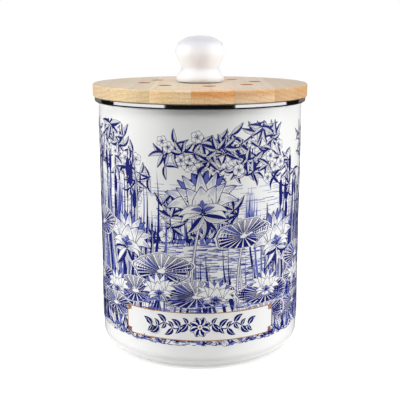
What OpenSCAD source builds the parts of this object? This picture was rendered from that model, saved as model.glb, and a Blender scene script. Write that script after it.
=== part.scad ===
// Countertop food-waste bin: an enamelled steel pot with a rolled steel rim, and a lift-off
// wooden lid that carries a ceramic knob, a silicone seal and a twist-out charcoal filter.
// The origin is the centre of the base, on the surface that the bin stands on. Millimetres, +Z up.

/* [Pot] */
// Outside diameter of the enamelled wall
body_d = 171; // [140:1:220]
// Height of the pot, from the table to the top of its rim
body_h = 212.5; // [150:0.5:260]
// Thickness of the enamelled sheet
wall_t = 1; // [0.8:0.1:1.6]
// Outside radius of the corner between wall and base
corner_r = 12.5; // [6:0.5:20]
// Height that the middle of the base is pushed up
kick_h = 2; // [1:0.1:3]
// Width of the flat ring that the pot stands on
foot_w = 7; // [4:0.5:12]

/* [Rolled rim] */
// How far the rim stands out from the wall
bead_w = 3.2; // [2.8:0.1:4]
// Height of the rim
bead_h = 4; // [3.2:0.1:4.6]
// Outside radius of the rim's two rolled edges
bead_round = 1.4; // [1.1:0.1:1.5]
// Thickness of the rim's sheet
rim_t = 0.6; // [0.4:0.05:0.7]

/* [Wooden lid] */
// Diameter of the lid
lid_d = 180; // [176:1:230]
// Thickness of the lid's cap, above the rim
lid_t = 10.5; // [8:0.5:16]
// Depth of the plug turned below the cap
plug_h = 8.5; // [7.5:0.5:12]
// Gap between the plug and the pot's inner wall
plug_gap = 2.8; // [2:0.1:4]
// Rounding of the cap's upper edge
lid_round = 1.5; // [0.5:0.1:3]
// Rounding of the cap's lower edge
lid_low_round = 0.7; // [0.3:0.1:1.5]
// Air gap between the cap and the rim, which the seal takes up
seat_gap = 0.3; // [0.2:0.05:0.5]

/* [Vents] */
// Number of holes drilled through the lid
vent_n = 8; // [4:1:12]
// Diameter of a hole
vent_d = 9; // [5:0.5:10]
// Radius of the circle that the holes lie on
vent_r = 47; // [38:0.5:50]
// Angle of the first hole from the front, towards the right
vent_phase = 8.6; // [0:0.1:44]
// Chamfer at the top of each hole
vent_chamfer = 1; // [0.2:0.1:1.2]

/* [Silicone seal] */
// Height of the groove that the seal sits in
groove_h = 4.5; // [4:0.1:5]
// Depth of the groove
groove_d = 2.5; // [1.5:0.1:3.5]
// Height of the groove above the foot of the plug
groove_lift = 1.8; // [1.2:0.1:2.2]
// Thickness of a sealing lip at its root
lip_t = 0.9; // [0.6:0.1:1.2]
// How far a lip rises towards its tip
lip_rise = 1.1; // [0.5:0.1:1.4]
// Clearance between the lips and the wall
lip_gap = 0.3; // [0.2:0.05:0.5]

/* [Knob] */
// Height of the ceramic knob
knob_h = 38; // [30:0.5:50]
// Radius of the knob's head at its widest
knob_head_r = 20.5; // [17:0.1:26]
// Height of the head's widest line above the knob's foot
knob_head_z = 25.4; // [22:0.1:28]
// Radius of the neck
knob_neck_r = 15.9; // [13:0.1:17]
// Height of the neck above the foot
knob_neck_z = 12.1; // [9:0.1:16]
// Radius of the foot at its widest
knob_foot_r = 20.1; // [18:0.1:24]
// Rounding of the foot's edge
knob_foot_round = 2.8; // [1.5:0.1:4]
// Thickness of the soft washer under the knob
cushion_t = 0.5; // [0.3:0.1:1.5]

/* [Knob screw] */
// Thread diameter of the knob's screw
screw_d = 5; // [4:0.5:6]
// Length of the screw under its head
screw_l = 25; // [22:1:30]
// Diameter of the screw's head
screw_head_d = 9.5; // [8:0.1:10]
// Height of the screw's head
screw_head_h = 3; // [2.2:0.1:3.4]
// Width across the flats of the hexagon socket
socket_af = 3; // [2.5:0.5:4]
// Outside diameter of the steel washer
washer_d = 12.5; // [10.5:0.1:13]
// Thickness of the steel washer
washer_t = 1.2; // [0.8:0.1:1.5]
// Diameter of the recess that hides the screw's head
recess_d = 14; // [13.5:0.1:20]
// Depth of the recess
recess_h = 5; // [4.9:0.1:6]
// Outside diameter of the threaded brass insert
insert_d = 9; // [8:0.1:12]
// Length of the insert
insert_l = 13; // [10:0.5:16]

/* [Filter housing] */
// Thickness of the charcoal disc
pad_t = 8; // [6:0.5:9]
// Air space between the disc and the wood
pad_air = 1.8; // [1:0.1:3]
// Wall thickness of the housing and of the basket
moulding_t = 2; // [1.5:0.1:2.4]
// Thickness of the flange that is screwed to the lid
flange_t = 2.5; // [2:0.1:3]
// Step from the edge of the plug in to the edge of the flange
flange_inset = 4; // [3:0.1:6]
// Width of the flange outside the housing's wall, which also sets the size of the disc
flange_w = 10.8; // [10:0.1:14]
// Number of wood screws
fix_n = 4; // [3:1:8]
// Diameter of a wood screw
fix_d = 3; // [2.5:0.1:3.5]
// Length of a wood screw
fix_l = 12; // [9:1:14]
// Head diameter of a wood screw
fix_head_d = 5.8; // [5:0.1:6.4]
// Distance of the wood screws from the edge of the flange
fix_inset = 4.8; // [4:0.1:6]

/* [Twist lock] */
// Number of lugs on the basket
lug_n = 3; // [2:1:4]
// Angle that a lug spans
lug_a = 18; // [10:1:22]
// Height of a lug
lug_h = 2.6; // [2:0.1:3]
// How far a lug stands out from the basket
lug_w = 2.3; // [1.5:0.1:2.6]
// Angle that the basket turns to unlock
twist_a = 30; // [20:1:36]
// Running clearance between the basket and its housing
run_gap = 0.3; // [0.25:0.05:0.5]

/* [Basket] */
// Thickness of the grille
grille_t = 2; // [1.5:0.1:3]
// Number of spokes in the grille
spoke_n = 12; // [6:2:18]
// Width of a spoke or a ring
rib_w = 2.2; // [1.6:0.1:3]
// Distance from one ring to the next
ring_pitch = 8.4; // [6:0.1:12]
// Radius of the plain disc at the middle of the grille
hub_r = 13; // [8:0.5:16]
// Length of the finger grip
grip_l = 46; // [30:1:60]
// Thickness of the finger grip
grip_t = 3.4; // [2.5:0.1:5]
// Height of the finger grip below the grille
grip_h = 8; // [6:0.5:12]

/* [Hidden] */
$fn = 96;
eps = 0.01;

// Pot
body_r = body_d / 2;
inner_r = body_r - wall_t;
rim_r = body_r + bead_w;
bead_c = rim_r - bead_round;
shell_top = body_h - rim_t;
foot_r = body_r - corner_r;
kick_r = foot_r - foot_w;

// Lid
lid_r = lid_d / 2;
cap_z = body_h + seat_gap;
lid_top = cap_z + lid_t;
plug_r = inner_r - plug_gap;
plug_z = cap_z - plug_h;
plug_chamfer = 0.8;
groove_z = plug_z + groove_lift;
lip_r = inner_r - lip_gap;
lip_tip = lip_t * 0.6;

// Knob and its screw: the parts stack up from the ceiling of the recess under the lid
knob_z = lid_top + cushion_t;
knob_steps = 14;
crown_power = 2.3;
neck_power = 0.78;
foot_dish = 1;
cushion_r = knob_foot_r - knob_foot_round - foot_dish;
recess_z = plug_z + recess_h;
head_z = recess_z - washer_t;
thread_gap = 0.05;
shank_gap = 0.3;
screw_r = screw_d / 2;
screw_end = head_z + screw_l;
insert_end = knob_z + insert_l;
socket_h = screw_head_h * 0.6;
point_h = 0.6;

// Filter, from the plug's edge inwards: flange, housing wall, lug tracks, basket and disc
flange_r = plug_r - flange_inset;
housing_r = flange_r - flange_w;
track_r = housing_r - moulding_t;
lug_r = track_r - run_gap;
basket_r = lug_r - lug_w;
bore_r = basket_r + run_gap;
basket_in_r = basket_r - moulding_t;
pad_gap = 0.3;
pad_r = basket_in_r - pad_gap;
pad_z = plug_z - pad_air - pad_t;
grille_z = pad_z - grille_t;
housing_z = pad_z + run_gap;
basket_top = plug_z - run_gap - seat_gap;
flange_z = plug_z - flange_t;

// Twist lock: the lugs stop lug_end degrees short of each end of their track
track_roof = flange_z - run_gap;
lug_z = track_roof - run_gap - lug_h;
track_z = lug_z - run_gap;
lug_end = 0.5;
lug_step = 360 / lug_n;

// Wood screws: countersunk at 45 degrees, with their points inside the lid
fix_r = flange_r - fix_inset;
fix_r_hole = fix_d / 2;
fix_head_r = fix_head_d / 2;
fix_head_h = fix_head_r - fix_r_hole;
fix_phase = 45;
fix_point = fix_d * 0.7;

grip_round = grip_h * 0.45;
ring_n = floor((basket_in_r - hub_r) / ring_pitch);

// A ring with a rectangular section, standing on z
module ring(r_in, r_out, z, h) {
    rotate_extrude()
        translate([r_in, z])
            square([r_out - r_in, h]);
}

// Part of such a ring, from angle a0 round to a0 + a
module ring_part(r_in, r_out, z, h, a0, a) {
    rotate([0, 0, a0])
        rotate_extrude(angle = a)
            translate([r_in, z])
                square([r_out - r_in, h]);
}

// Copies of the children, n of them evenly round the axis from angle a0
module around(n, a0 = 0) {
    for (i = [0 : n - 1])
        rotate([0, 0, a0 + i * 360 / n])
            children();
}

// Half section of a can with a rounded corner, drawn inset from the pot's outside
module can_section(inset) {
    translate([0, inset])
        square([foot_r, body_h]);
    translate([0, corner_r])
        square([body_r - inset, body_h]);
    translate([foot_r, corner_r])
        circle(corner_r - inset);
}

// Half section of the space under the raised middle of the base, from z upwards
module kick_section(z) {
    translate([0, z])
        polygon([[-eps, -wall_t], [kick_r, -wall_t], [kick_r, 0], [kick_r - kick_h, kick_h], [-eps, kick_h]]);
}

// The wall turns out at its top edge into a flange, over a bend of the sheet's own thickness
module shell_edge() {
    intersection() {
        translate([body_r, shell_top - wall_t])
            circle(wall_t);
        translate([inner_r, shell_top - wall_t])
            square(wall_t);
    }
    translate([body_r - eps, shell_top - wall_t])
        square([bead_c - body_r + eps, wall_t]);
}

// One pressed and enamelled sheet: wall, rounded corner, raised base and flanged top edge
module body_shell() {
    color("white")
        rotate_extrude() {
            intersection() {
                difference() {
                    difference() {
                        can_section(0);
                        kick_section(0);
                    }
                    difference() {
                        can_section(wall_t);
                        kick_section(wall_t);
                    }
                }
                square([body_r, shell_top - wall_t]);
            }
            shell_edge();
        }
}

// Half section of the rim's flattened bead, drawn inset from its outside
module bead_section(inset) {
    translate([body_r - wall_t / 2, body_h - bead_h + inset])
        square([bead_c - body_r + wall_t / 2, bead_h - 2 * inset]);
    translate([bead_c - eps, body_h - bead_h + bead_round])
        square([bead_round - inset + eps, bead_h - 2 * bead_round]);
    for (z = [body_h - bead_h + bead_round, body_h - bead_round])
        translate([bead_c, z])
            circle(bead_round - inset);
}

// Bright steel channel, rolled over the flange of the pot and closed against its wall
module rim_ring() {
    color("silver")
        rotate_extrude()
            difference() {
                bead_section(0);
                bead_section(rim_t);
                square([body_r, shell_top]);
            }
}

// Half section of the turned lid: a cap with rounded edges over a plug with a seal groove
module lid_section() {
    translate([0, cap_z])
        square([lid_r - lid_low_round, lid_t - lid_round]);
    translate([0, cap_z + lid_low_round])
        square([lid_r, lid_t - lid_low_round - lid_round]);
    translate([0, cap_z + lid_round])
        square([lid_r - lid_round, lid_t - lid_round]);
    translate([lid_r - lid_low_round, cap_z + lid_low_round])
        circle(lid_low_round);
    translate([lid_r - lid_round, lid_top - lid_round])
        circle(lid_round);
    difference() {
        polygon([
            [0, plug_z], [plug_r - plug_chamfer, plug_z], [plug_r, plug_z + plug_chamfer],
            [plug_r, cap_z + eps], [0, cap_z + eps]
        ]);
        translate([plug_r - groove_d, groove_z])
            square([groove_d + 1, groove_h]);
    }
}

// One vent: a drilled hole with a chamfered mouth
module vent() {
    translate([vent_r, 0, plug_z - 1])
        cylinder(h = plug_h + lid_t + 2, d = vent_d);
    translate([vent_r, 0, lid_top - vent_chamfer])
        cylinder(h = 2 * vent_chamfer, d1 = vent_d, d2 = vent_d + 4 * vent_chamfer);
}

// Edge-glued beech, turned from one board: vents, knob hole with its recess, and pilot holes
module lid_board() {
    color("burlywood")
        difference() {
            rotate_extrude()
                lid_section();
            around(vent_n, vent_phase - 90)
                vent();
            translate([0, 0, plug_z - 1])
                cylinder(h = plug_h + lid_t + 2, r = screw_r + shank_gap);
            translate([0, 0, plug_z - 1])
                cylinder(h = recess_h + 1, d = recess_d);
            around(fix_n, fix_phase)
                translate([fix_r, 0, flange_z])
                    cylinder(h = fix_l + thread_gap, r = fix_r_hole + thread_gap);
        }
}

// One sealing lip: it slopes up and outwards from the band, and thins towards its tip
module lip(z) {
    polygon([
        [plug_r - eps, z], [plug_r, z], [lip_r, z + lip_rise],
        [lip_r, z + lip_rise + lip_tip], [plug_r, z + lip_t], [plug_r - eps, z + lip_t]
    ]);
}

// Silicone band that fills the plug's groove, with two lips that wipe the pot's wall
module lid_seal() {
    color("gainsboro")
        rotate_extrude() {
            translate([plug_r - groove_d, groove_z])
                square([groove_d, groove_h]);
            lip(groove_z + lip_t / 2);
            lip(groove_z + groove_h - lip_t - lip_rise);
        }
}

// A number that eases from 0 to 1 with level ends
function ease(s) = s * s * (3 - 2 * s);

// Cosine or sine raised for a superellipse, guarded against a negative rounding error
function lobe(v) = pow(max(v, 0), 2 / crown_power);

// Points of the knob's outline in its own heights, from the foot's edge up to the crown
function foot_points() = [
    for (i = [0 : knob_steps])
        let (a = -90 + 90 * i / knob_steps)
        [knob_foot_r - knob_foot_round + knob_foot_round * cos(a), knob_foot_round + knob_foot_round * sin(a)]
];
function cove_points() = [
    for (i = [1 : knob_steps])
        let (s = i / knob_steps)
        [knob_foot_r + (knob_neck_r - knob_foot_r) * ease(s),
         knob_foot_round + (knob_neck_z - knob_foot_round) * s]
];
function throat_points() = [
    for (i = [1 : knob_steps])
        let (s = i / knob_steps)
        [knob_neck_r + (knob_head_r - knob_neck_r) * ease(pow(s, neck_power)),
         knob_neck_z + (knob_head_z - knob_neck_z) * s]
];
function crown_points() = [
    for (i = [1 : knob_steps])
        let (a = 90 * i / knob_steps)
        [knob_head_r * (i == knob_steps ? 0 : lobe(cos(a))), knob_head_z + (knob_h - knob_head_z) * lobe(sin(a))]
];

// Glazed ceramic: a foot with a rounded edge, a cove up to the neck, and a domed head.
// The foot is dished, so that only its edge bears on the soft washer.
module knob() {
    color("white")
        translate([0, 0, knob_z])
            difference() {
                rotate_extrude()
                    polygon(concat([[0, 0]], foot_points(), cove_points(), throat_points(), crown_points()));
                translate([0, 0, -1])
                    cylinder(h = insert_l + 1, d = insert_d);
            }
}

// Brass bush, cast into the knob's blind hole, that takes the screw
module knob_insert() {
    color("gold")
        ring(screw_r + thread_gap, insert_d / 2, knob_z, insert_l);
}

// Thin dark washer that keeps the ceramic off the wood
module knob_cushion() {
    color("dimgray")
        ring(screw_r + shank_gap, cushion_r, lid_top, cushion_t);
}

// Steel washer that spreads the screw's pull on the ceiling of the recess
module knob_washer() {
    color("lightgray")
        ring(screw_r + shank_gap, washer_d / 2, head_z, washer_t);
}

// Machine screw, driven from below through the lid into the knob's insert
module knob_screw() {
    color("silver")
        difference() {
            union() {
                translate([0, 0, head_z - screw_head_h])
                    cylinder(h = screw_head_h, d = screw_head_d);
                translate([0, 0, head_z])
                    cylinder(h = screw_l - point_h, r = screw_r);
                translate([0, 0, screw_end - point_h])
                    cylinder(h = point_h, r1 = screw_r, r2 = screw_r - point_h);
            }
            translate([0, 0, head_z - screw_head_h - 1])
                cylinder(h = socket_h + 1, d = socket_af / cos(30), $fn = 6);
        }
}

// One lug's way through the housing: in from below, then along under the roof of the track
module lug_track() {
    start_a = -twist_a - lug_end;
    ring_part(bore_r - 1, track_r, housing_z - 1, track_roof - housing_z + 1, start_a, lug_a + 2 * lug_end);
    ring_part(bore_r - 1, track_r, track_z, track_roof - track_z, start_a, twist_a + lug_a + 2 * lug_end);
}

// Moulded ring on the underside of the lid: a flange for the screws and a wall with the tracks
module filter_housing() {
    color("whitesmoke")
        difference() {
            rotate_extrude() {
                translate([bore_r, housing_z])
                    square([housing_r - bore_r, plug_z - housing_z]);
                translate([bore_r, flange_z])
                    square([flange_r - bore_r, flange_t]);
            }
            around(lug_n)
                lug_track();
            around(fix_n, fix_phase)
                translate([fix_r, 0, flange_z - 1]) {
                    cylinder(h = flange_t + 2, r = fix_r_hole + thread_gap);
                    translate([0, 0, 1 - eps])
                        cylinder(h = fix_head_h + thread_gap, r1 = fix_head_r + 2 * thread_gap, r2 = fix_r_hole + thread_gap);
                }
        }
}

// Countersunk wood screws: head, shank and point
module housing_screws() {
    color("silver")
        around(fix_n, fix_phase)
            translate([fix_r, 0, flange_z]) {
                cylinder(h = fix_head_h, r1 = fix_head_r, r2 = fix_r_hole);
                translate([0, 0, fix_head_h])
                    cylinder(h = fix_l - fix_head_h - fix_point, r = fix_r_hole);
                translate([0, 0, fix_l - fix_point])
                    cylinder(h = fix_point, r1 = fix_r_hole, r2 = fix_r_hole * 0.2);
            }
}

// Open grille: a hub, evenly spaced rings, and spokes that run out to the wall
module grille() {
    ring(0, hub_r, grille_z, grille_t);
    for (i = [1 : ring_n])
        let (r = hub_r + i * ring_pitch)
        if (r < basket_in_r - rib_w)
            ring(r - rib_w / 2, r + rib_w / 2, grille_z, grille_t);
    around(spoke_n)
        translate([hub_r / 2, -rib_w / 2, grille_z])
            cube([basket_in_r + moulding_t / 2 - hub_r / 2, rib_w, grille_t]);
}

// Upright tab across the hub, with round corners, to turn the basket by
module grip() {
    rotate([90, 0, 0])
        linear_extrude(grip_t, center = true)
            union() {
                translate([-grip_l / 2, grille_z - grip_h + grip_round])
                    square([grip_l, grip_h - grip_round + grille_t / 2]);
                translate([-grip_l / 2 + grip_round, grille_z - grip_h])
                    square([grip_l - 2 * grip_round, grip_h]);
                for (x = [-1, 1])
                    translate([x * (grip_l / 2 - grip_round), grille_z - grip_h + grip_round])
                        circle(grip_round);
            }
}

// Twist-out basket: a wall with lugs, a lip that covers the housing's edge, and the grille
module filter_basket() {
    color("ivory") {
        ring(basket_in_r, basket_r, grille_z, basket_top - grille_z);
        ring(basket_in_r, housing_r, grille_z, grille_t);
        around(lug_n)
            ring_part(basket_r - moulding_t / 2, lug_r, lug_z, lug_h, 0, lug_a);
        grille();
        grip();
    }
}

// Replaceable charcoal felt disc, lying in the basket
module charcoal_disc() {
    color("black")
        translate([0, 0, pad_z])
            cylinder(h = pad_t, r = pad_r);
}

body_shell();
rim_ring();
lid_board();
lid_seal();
knob();
knob_insert();
knob_cushion();
knob_washer();
knob_screw();
filter_housing();
housing_screws();
filter_basket();
charcoal_disc();
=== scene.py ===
# %% [markdown]
# # A countertop food-waste bin
#
# The object is a round enamelled pot with a rolled steel rim. A wooden lid lifts off it, with a
# porcelain knob on top, and a silicone seal and a charcoal filter underneath. This lesson dresses
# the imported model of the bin: each piece is a surface worked out with numpy, or a smoothed copy
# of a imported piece, and each finish is a small graph of shader nodes.
#
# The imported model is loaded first. Its pieces and the new ones share one frame: metres, the
# origin at the centre of the base, +Z up and -Y at the front.

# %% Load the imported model
import math
import bpy
import numpy as np
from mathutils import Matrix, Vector


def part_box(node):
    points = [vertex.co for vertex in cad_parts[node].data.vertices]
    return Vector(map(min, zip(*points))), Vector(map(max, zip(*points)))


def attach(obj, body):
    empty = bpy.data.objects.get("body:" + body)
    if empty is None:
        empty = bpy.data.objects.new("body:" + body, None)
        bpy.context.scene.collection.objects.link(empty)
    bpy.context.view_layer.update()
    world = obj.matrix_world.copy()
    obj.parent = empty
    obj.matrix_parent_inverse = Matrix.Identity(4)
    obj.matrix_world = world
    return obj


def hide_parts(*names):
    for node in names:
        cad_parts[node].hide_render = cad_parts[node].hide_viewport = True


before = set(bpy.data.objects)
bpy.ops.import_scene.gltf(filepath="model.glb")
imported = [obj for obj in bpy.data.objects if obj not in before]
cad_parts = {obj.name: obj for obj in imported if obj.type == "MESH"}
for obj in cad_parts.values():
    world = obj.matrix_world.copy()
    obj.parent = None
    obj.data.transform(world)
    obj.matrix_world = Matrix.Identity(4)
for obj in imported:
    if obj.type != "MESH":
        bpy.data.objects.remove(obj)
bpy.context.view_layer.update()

# %% [markdown]
# ## Sizes
#
# Blender's unit is the metre, but a maker thinks in millimetres, so every size below is in
# millimetres and is turned to metres at the last moment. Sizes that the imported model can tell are
# measured from it, so that the dressed pieces follow it when it changes. The rest are the few
# sizes that no outer corner of a piece shows, such as the radius of the pot's wall.

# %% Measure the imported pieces
MM = 0.001


def measure(name):
    """Outer radius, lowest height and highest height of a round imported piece, in millimetres."""
    low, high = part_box(name)
    return tuple(round(value / MM, 2) for value in (high.x, low.z, high.z))


rim_r, rim_low, rim_top = measure("rim_ring")
lid_r, plug_low, lid_top = measure("lid_board")
seal_r, seal_low, seal_top = measure("lid_seal")
knob_head_r, knob_low, knob_top = measure("knob")
felt_r, felt_low, felt_top = measure("charcoal_disc")

wall_r = 85.5  # outside of the pot's wall
sheet = 1.0  # thickness of its steel
corner_r = 12.5  # rounding between the wall and the base
cap_low = rim_top + 0.3  # underside of the lid's cap, a hair above the rim
plug_r = 81.7  # the part of the lid that drops into the pot
groove_r = plug_r - 2.5  # bottom of the groove for the seal
print("lid radius", lid_r, "from", plug_low, "to", lid_top, "mm")

# %% [markdown]
# ## Colours and nodes
#
# A colour picked on a screen is an sRGB value, while the renderer adds light in linear values.
# One function turns the first into the second. Another fills the sockets of a node, and a third
# adds any shader node together with its settings and its links, so that each finish further down
# reads as a short recipe.

# %% Colours and nodes


def linear(code):
    """Linear RGBA of an sRGB hex code: v / 12.92 below 0.04045, else ((v + 0.055) / 1.055) ^ 2.4."""
    v = np.array([int(code[i:i + 2], 16) for i in (1, 3, 5)]) / 255
    return (*np.where(v <= 0.04045, v / 12.92, ((v + 0.055) / 1.055) ** 2.4).tolist(), 1.0)


def feed(node, inputs):
    """Fills named or numbered sockets with a value, an output, or a node's first live output."""
    for key, value in inputs.items():
        if isinstance(value, bpy.types.Node):
            value = next(output for output in value.outputs if output.enabled)
        if isinstance(value, bpy.types.NodeSocket):
            node.id_data.links.new(value, node.inputs[key])
        else:
            node.inputs[key].default_value = value


def add(tree, kind, inputs=None, stops=(), **settings):
    """Adds a node with its inputs and settings.

    Stops are the (position, hex code) pairs of a colour ramp; its settings are then the ramp's.
    """
    made = tree.nodes.new("ShaderNode" + kind)
    for key, value in settings.items():
        setattr(made.color_ramp if stops else made, key, value)
    for _ in stops[2:]:
        made.color_ramp.elements.new(0.5)
    for k, (position, code) in enumerate(stops):
        made.color_ramp.elements[k].position = position
        made.color_ramp.elements[k].color = linear(code)
    feed(made, inputs or {})
    return made


BLEND = {"data_type": "RGBA"}  # a Mix node for two colours, at its sockets 6 and 7
TINT = {"data_type": "RGBA", "blend_type": "MULTIPLY"}  # the same, with the second as a filter
print("the grey #808080 is", round(linear("#808080")[0], 3), "in linear light")

# %% A finish with plain values


def finish_of(name, code, **sockets):
    """A material whose Principled shader holds plain values; returns it, its tree and its shader."""
    made = bpy.data.materials.new(name)
    made.use_nodes = True
    made.diffuse_color = linear(code)
    shader = made.node_tree.nodes["Principled BSDF"]
    named = {key.replace("_", " "): value for key, value in sockets.items()}
    feed(shader, {"Base Color": linear(code)} | named)
    return made, made.node_tree, shader


def per(size):
    """Scale of a texture whose features are size millimetres apart, on coordinates in metres."""
    return 1 / (size * MM)


print("a pattern of 2 mm has the scale", per(2))

# %% [markdown]
# ## Enamel
#
# Vitreous enamel is powdered glass melted onto a steel sheet. Its surface is smooth, hard and
# glossy, with the faint long waves of a liquid that levelled itself in the kiln. Those waves could
# be modelled, but they are a few hundredths of a millimetre high, so a bump map is the right
# tool: it bends reflections and leaves the outline alone. The white is a plain value, because
# the glaze has the same white all over.

# %% White vitreous enamel
ENAMEL_WHITE = "#E3E3E2"
GLAZE_WAVE, GLAZE_DEPTH = 18, 0.06  # from crest to crest, and the height
PEEL = 2.2  # the finer orange peel between them


def vitreous_enamel():
    """White glass on steel: glossy, of IOR 1.5, with long waves and a finer orange peel."""
    made, tree, shader = finish_of("Vitreous enamel, white", ENAMEL_WHITE, Roughness=0.13, IOR=1.5)
    place = add(tree, "TexCoord").outputs["Object"]
    waves = add(tree, "TexNoise", {"Vector": place, "Scale": per(GLAZE_WAVE), "Detail": 1.0})
    peel = add(tree, "TexNoise", {"Vector": place, "Scale": per(PEEL), "Detail": 2.0})
    both = add(tree, "Math", {0: peel, 1: 0.08, 2: waves}, operation="MULTIPLY_ADD")
    feed(shader, {"Normal": add(tree, "Bump", {"Height": both, "Distance": GLAZE_DEPTH * MM})})
    return made


enamel = vitreous_enamel()
print("made:", enamel.name)

# %% [markdown]
# ## Polished steel, zinc and brass
#
# The rim is a bright stainless channel. A polished metal has almost no colour of its own and
# shows whatever stands around it, so its look comes from the studio: dark cards and white walls
# make the black and white bands. Rolling leaves fine lines that run round the rim. They are too
# fine to see one by one, so the noise below is coarser, a few tenths of a millimetre, and it is
# stretched round the axis by reading the height and the radius only. It roughens the shine a
# little. Screws and washers are plated with zinc, which has a softer, greyer shine, and the
# knob's insert is brass from the lathe, a warm metal with turned lines.

# %% Metals with lines round the axis


def round_the_axis(tree):
    """A vector (radius, 0, height) in metres, the same all the way round the axis."""
    place = add(tree, "TexCoord").outputs["Object"]
    flat = add(tree, "VectorMath", {0: place, 1: (1, 1, 0)}, operation="MULTIPLY")
    radius = add(tree, "VectorMath", {0: flat}, operation="LENGTH")
    return add(tree, "CombineXYZ", {0: radius, 2: add(tree, "SeparateXYZ", {0: place}).outputs["Z"]})


def lined_metal(name, code, spacing, detail, low, high):
    """A metal with lines, spacing millimetres apart, whose roughness runs from low to high."""
    made, tree, shader = finish_of(name, code, Metallic=1.0)
    lines = add(tree, "TexNoise", {"Vector": round_the_axis(tree), "Scale": per(spacing), "Detail": detail})
    feed(shader, {"Roughness": add(tree, "MapRange", {0: lines, 3: low, 4: high})})
    return made


steel = lined_metal("Stainless steel, polished", "#DCDDDF", 0.5, 3.0, 0.05, 0.11)
zinc = lined_metal("Steel, zinc plated", "#B9BBBE", 0.4, 2.0, 0.24, 0.4)
brass = lined_metal("Brass, turned", "#CBA45C", 0.3, 2.0, 0.22, 0.38)
print("made:", steel.name, "/", zinc.name, "/", brass.name)

# %% [markdown]
# ## Beech
#
# The lid is turned from a board of beech staves, glued edge to edge along the Y axis. Three things
# tell the eye that this is beech: each stave has its own tone, the growth rings show as soft long
# bands on the top and as arcs where the edge cuts them, and short dark flecks, the wood's rays,
# lie all over it. Painting each face would break at every edge. Instead the wood is solid: the
# pattern is worked out in space, in coordinates of the object, and each face shows its own cut.
# Where a stave reaches the heart of the tree, its upper half is a deeper orange. The faces that
# look up blend in a grey tone, by the upward part of the surface's normal: a painted sheen and
# painted shade, which make the top greyer and darker than the edges.

# %% Staves and their grain
STAVE = 31.5  # width of a stave
STAVE_EDGE = -6.4  # where one glued joint crosses the X axis
STAVES = 7
STAVE_TONES = ("#D8C7A9", "#DDCAA4", "#F9E4BC", "#FADAB0", "#E4CDAF", "#CAAC86", "#D7C19E")
HEART_TONES = ("#D8C7A9", "#DDCAA4", "#F9E1B9", "#F3B576", "#DCB78E", "#C9A880", "#D7C19E")
# The third colour is a painted sheen and painted shade: the grey that the faces looking up blend in.
RAY, GLUE, TOP_SHEEN_SHADE = "#A9743F", "#7A5228", "#A2998E"
RING_GAP, STREAK, FLECK, CLOUD = 3.4, 1.3, 0.75, 28
ALONG, FLECK_ALONG = 0.035, 0.16  # patterns are drawn out along the grain, by one over this


def stave_of(tree, x):
    """The stave's number, its place from 0 to 1 on the ramp of tones, and how far across it x lies."""
    scale = {0: x, 1: 1 / (STAVE * MM), 2: -STAVE_EDGE / STAVE}
    across = add(tree, "Math", scale, operation="MULTIPLY_ADD")
    number = add(tree, "Math", {0: across}, operation="FLOOR")
    tone = add(tree, "Math", {0: number, 1: 1 / STAVES, 2: 0.5}, operation="MULTIPLY_ADD")
    return number, tone, add(tree, "Math", {0: across, 1: number}, operation="SUBTRACT")


def heartwood(tree, height, cloud, upward):
    """0 below the middle of the cap and 1 above it, along a wavy line, less the upward part."""
    middle = (cap_low + lid_top) / 2 * MM + 4 * MM
    wavy = add(tree, "Math", {0: cloud, 1: 8 * MM, 2: height}, operation="MULTIPLY_ADD")
    rise = add(tree, "MapRange", {0: wavy, 1: middle - 1.6 * MM, 2: middle + 1.2 * MM})
    return add(tree, "Math", {0: rise, 1: upward}, operation="SUBTRACT", use_clamp=True)


def grain(tree, place, number):
    """Growth rings, streaks, clouds and rays, cut from another part of the tree in each stave."""
    chance = add(tree, "TexWhiteNoise", {"W": number}, noise_dimensions="1D").outputs["Color"]
    shift = add(tree, "VectorMath", {0: chance, 1: (60 * MM, 900 * MM, 90 * MM)}, operation="MULTIPLY")
    own = add(tree, "VectorMath", {0: place, 1: shift}, operation="ADD")
    along = add(tree, "Mapping", {"Vector": own, "Scale": (1.0, ALONG, 1.0)})
    waves = {"Vector": along, "Scale": 0.314 / (RING_GAP * MM)}
    waves |= {"Distortion": 5.0, "Detail": 2.0, "Detail Scale": 0.35}
    rings = add(tree, "TexWave", waves, wave_type="RINGS", rings_direction="Y", wave_profile="SAW")
    streaks = add(tree, "TexNoise", {"Vector": along, "Scale": per(STREAK), "Detail": 4.0, "Roughness": 0.65})
    cloud = add(tree, "TexNoise", {"Vector": own, "Scale": per(CLOUD), "Detail": 2.0})
    short = add(tree, "Mapping", {"Vector": own, "Scale": (1.0, FLECK_ALONG, 1.0)})
    rays = add(tree, "TexNoise", {"Vector": short, "Scale": per(FLECK), "Detail": 1.0})
    return rings.outputs["Fac"], streaks, cloud, rays


print("staves", STAVE, "mm wide, growth rings", RING_GAP, "mm apart")

# %% Oiled beech in glued staves


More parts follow.
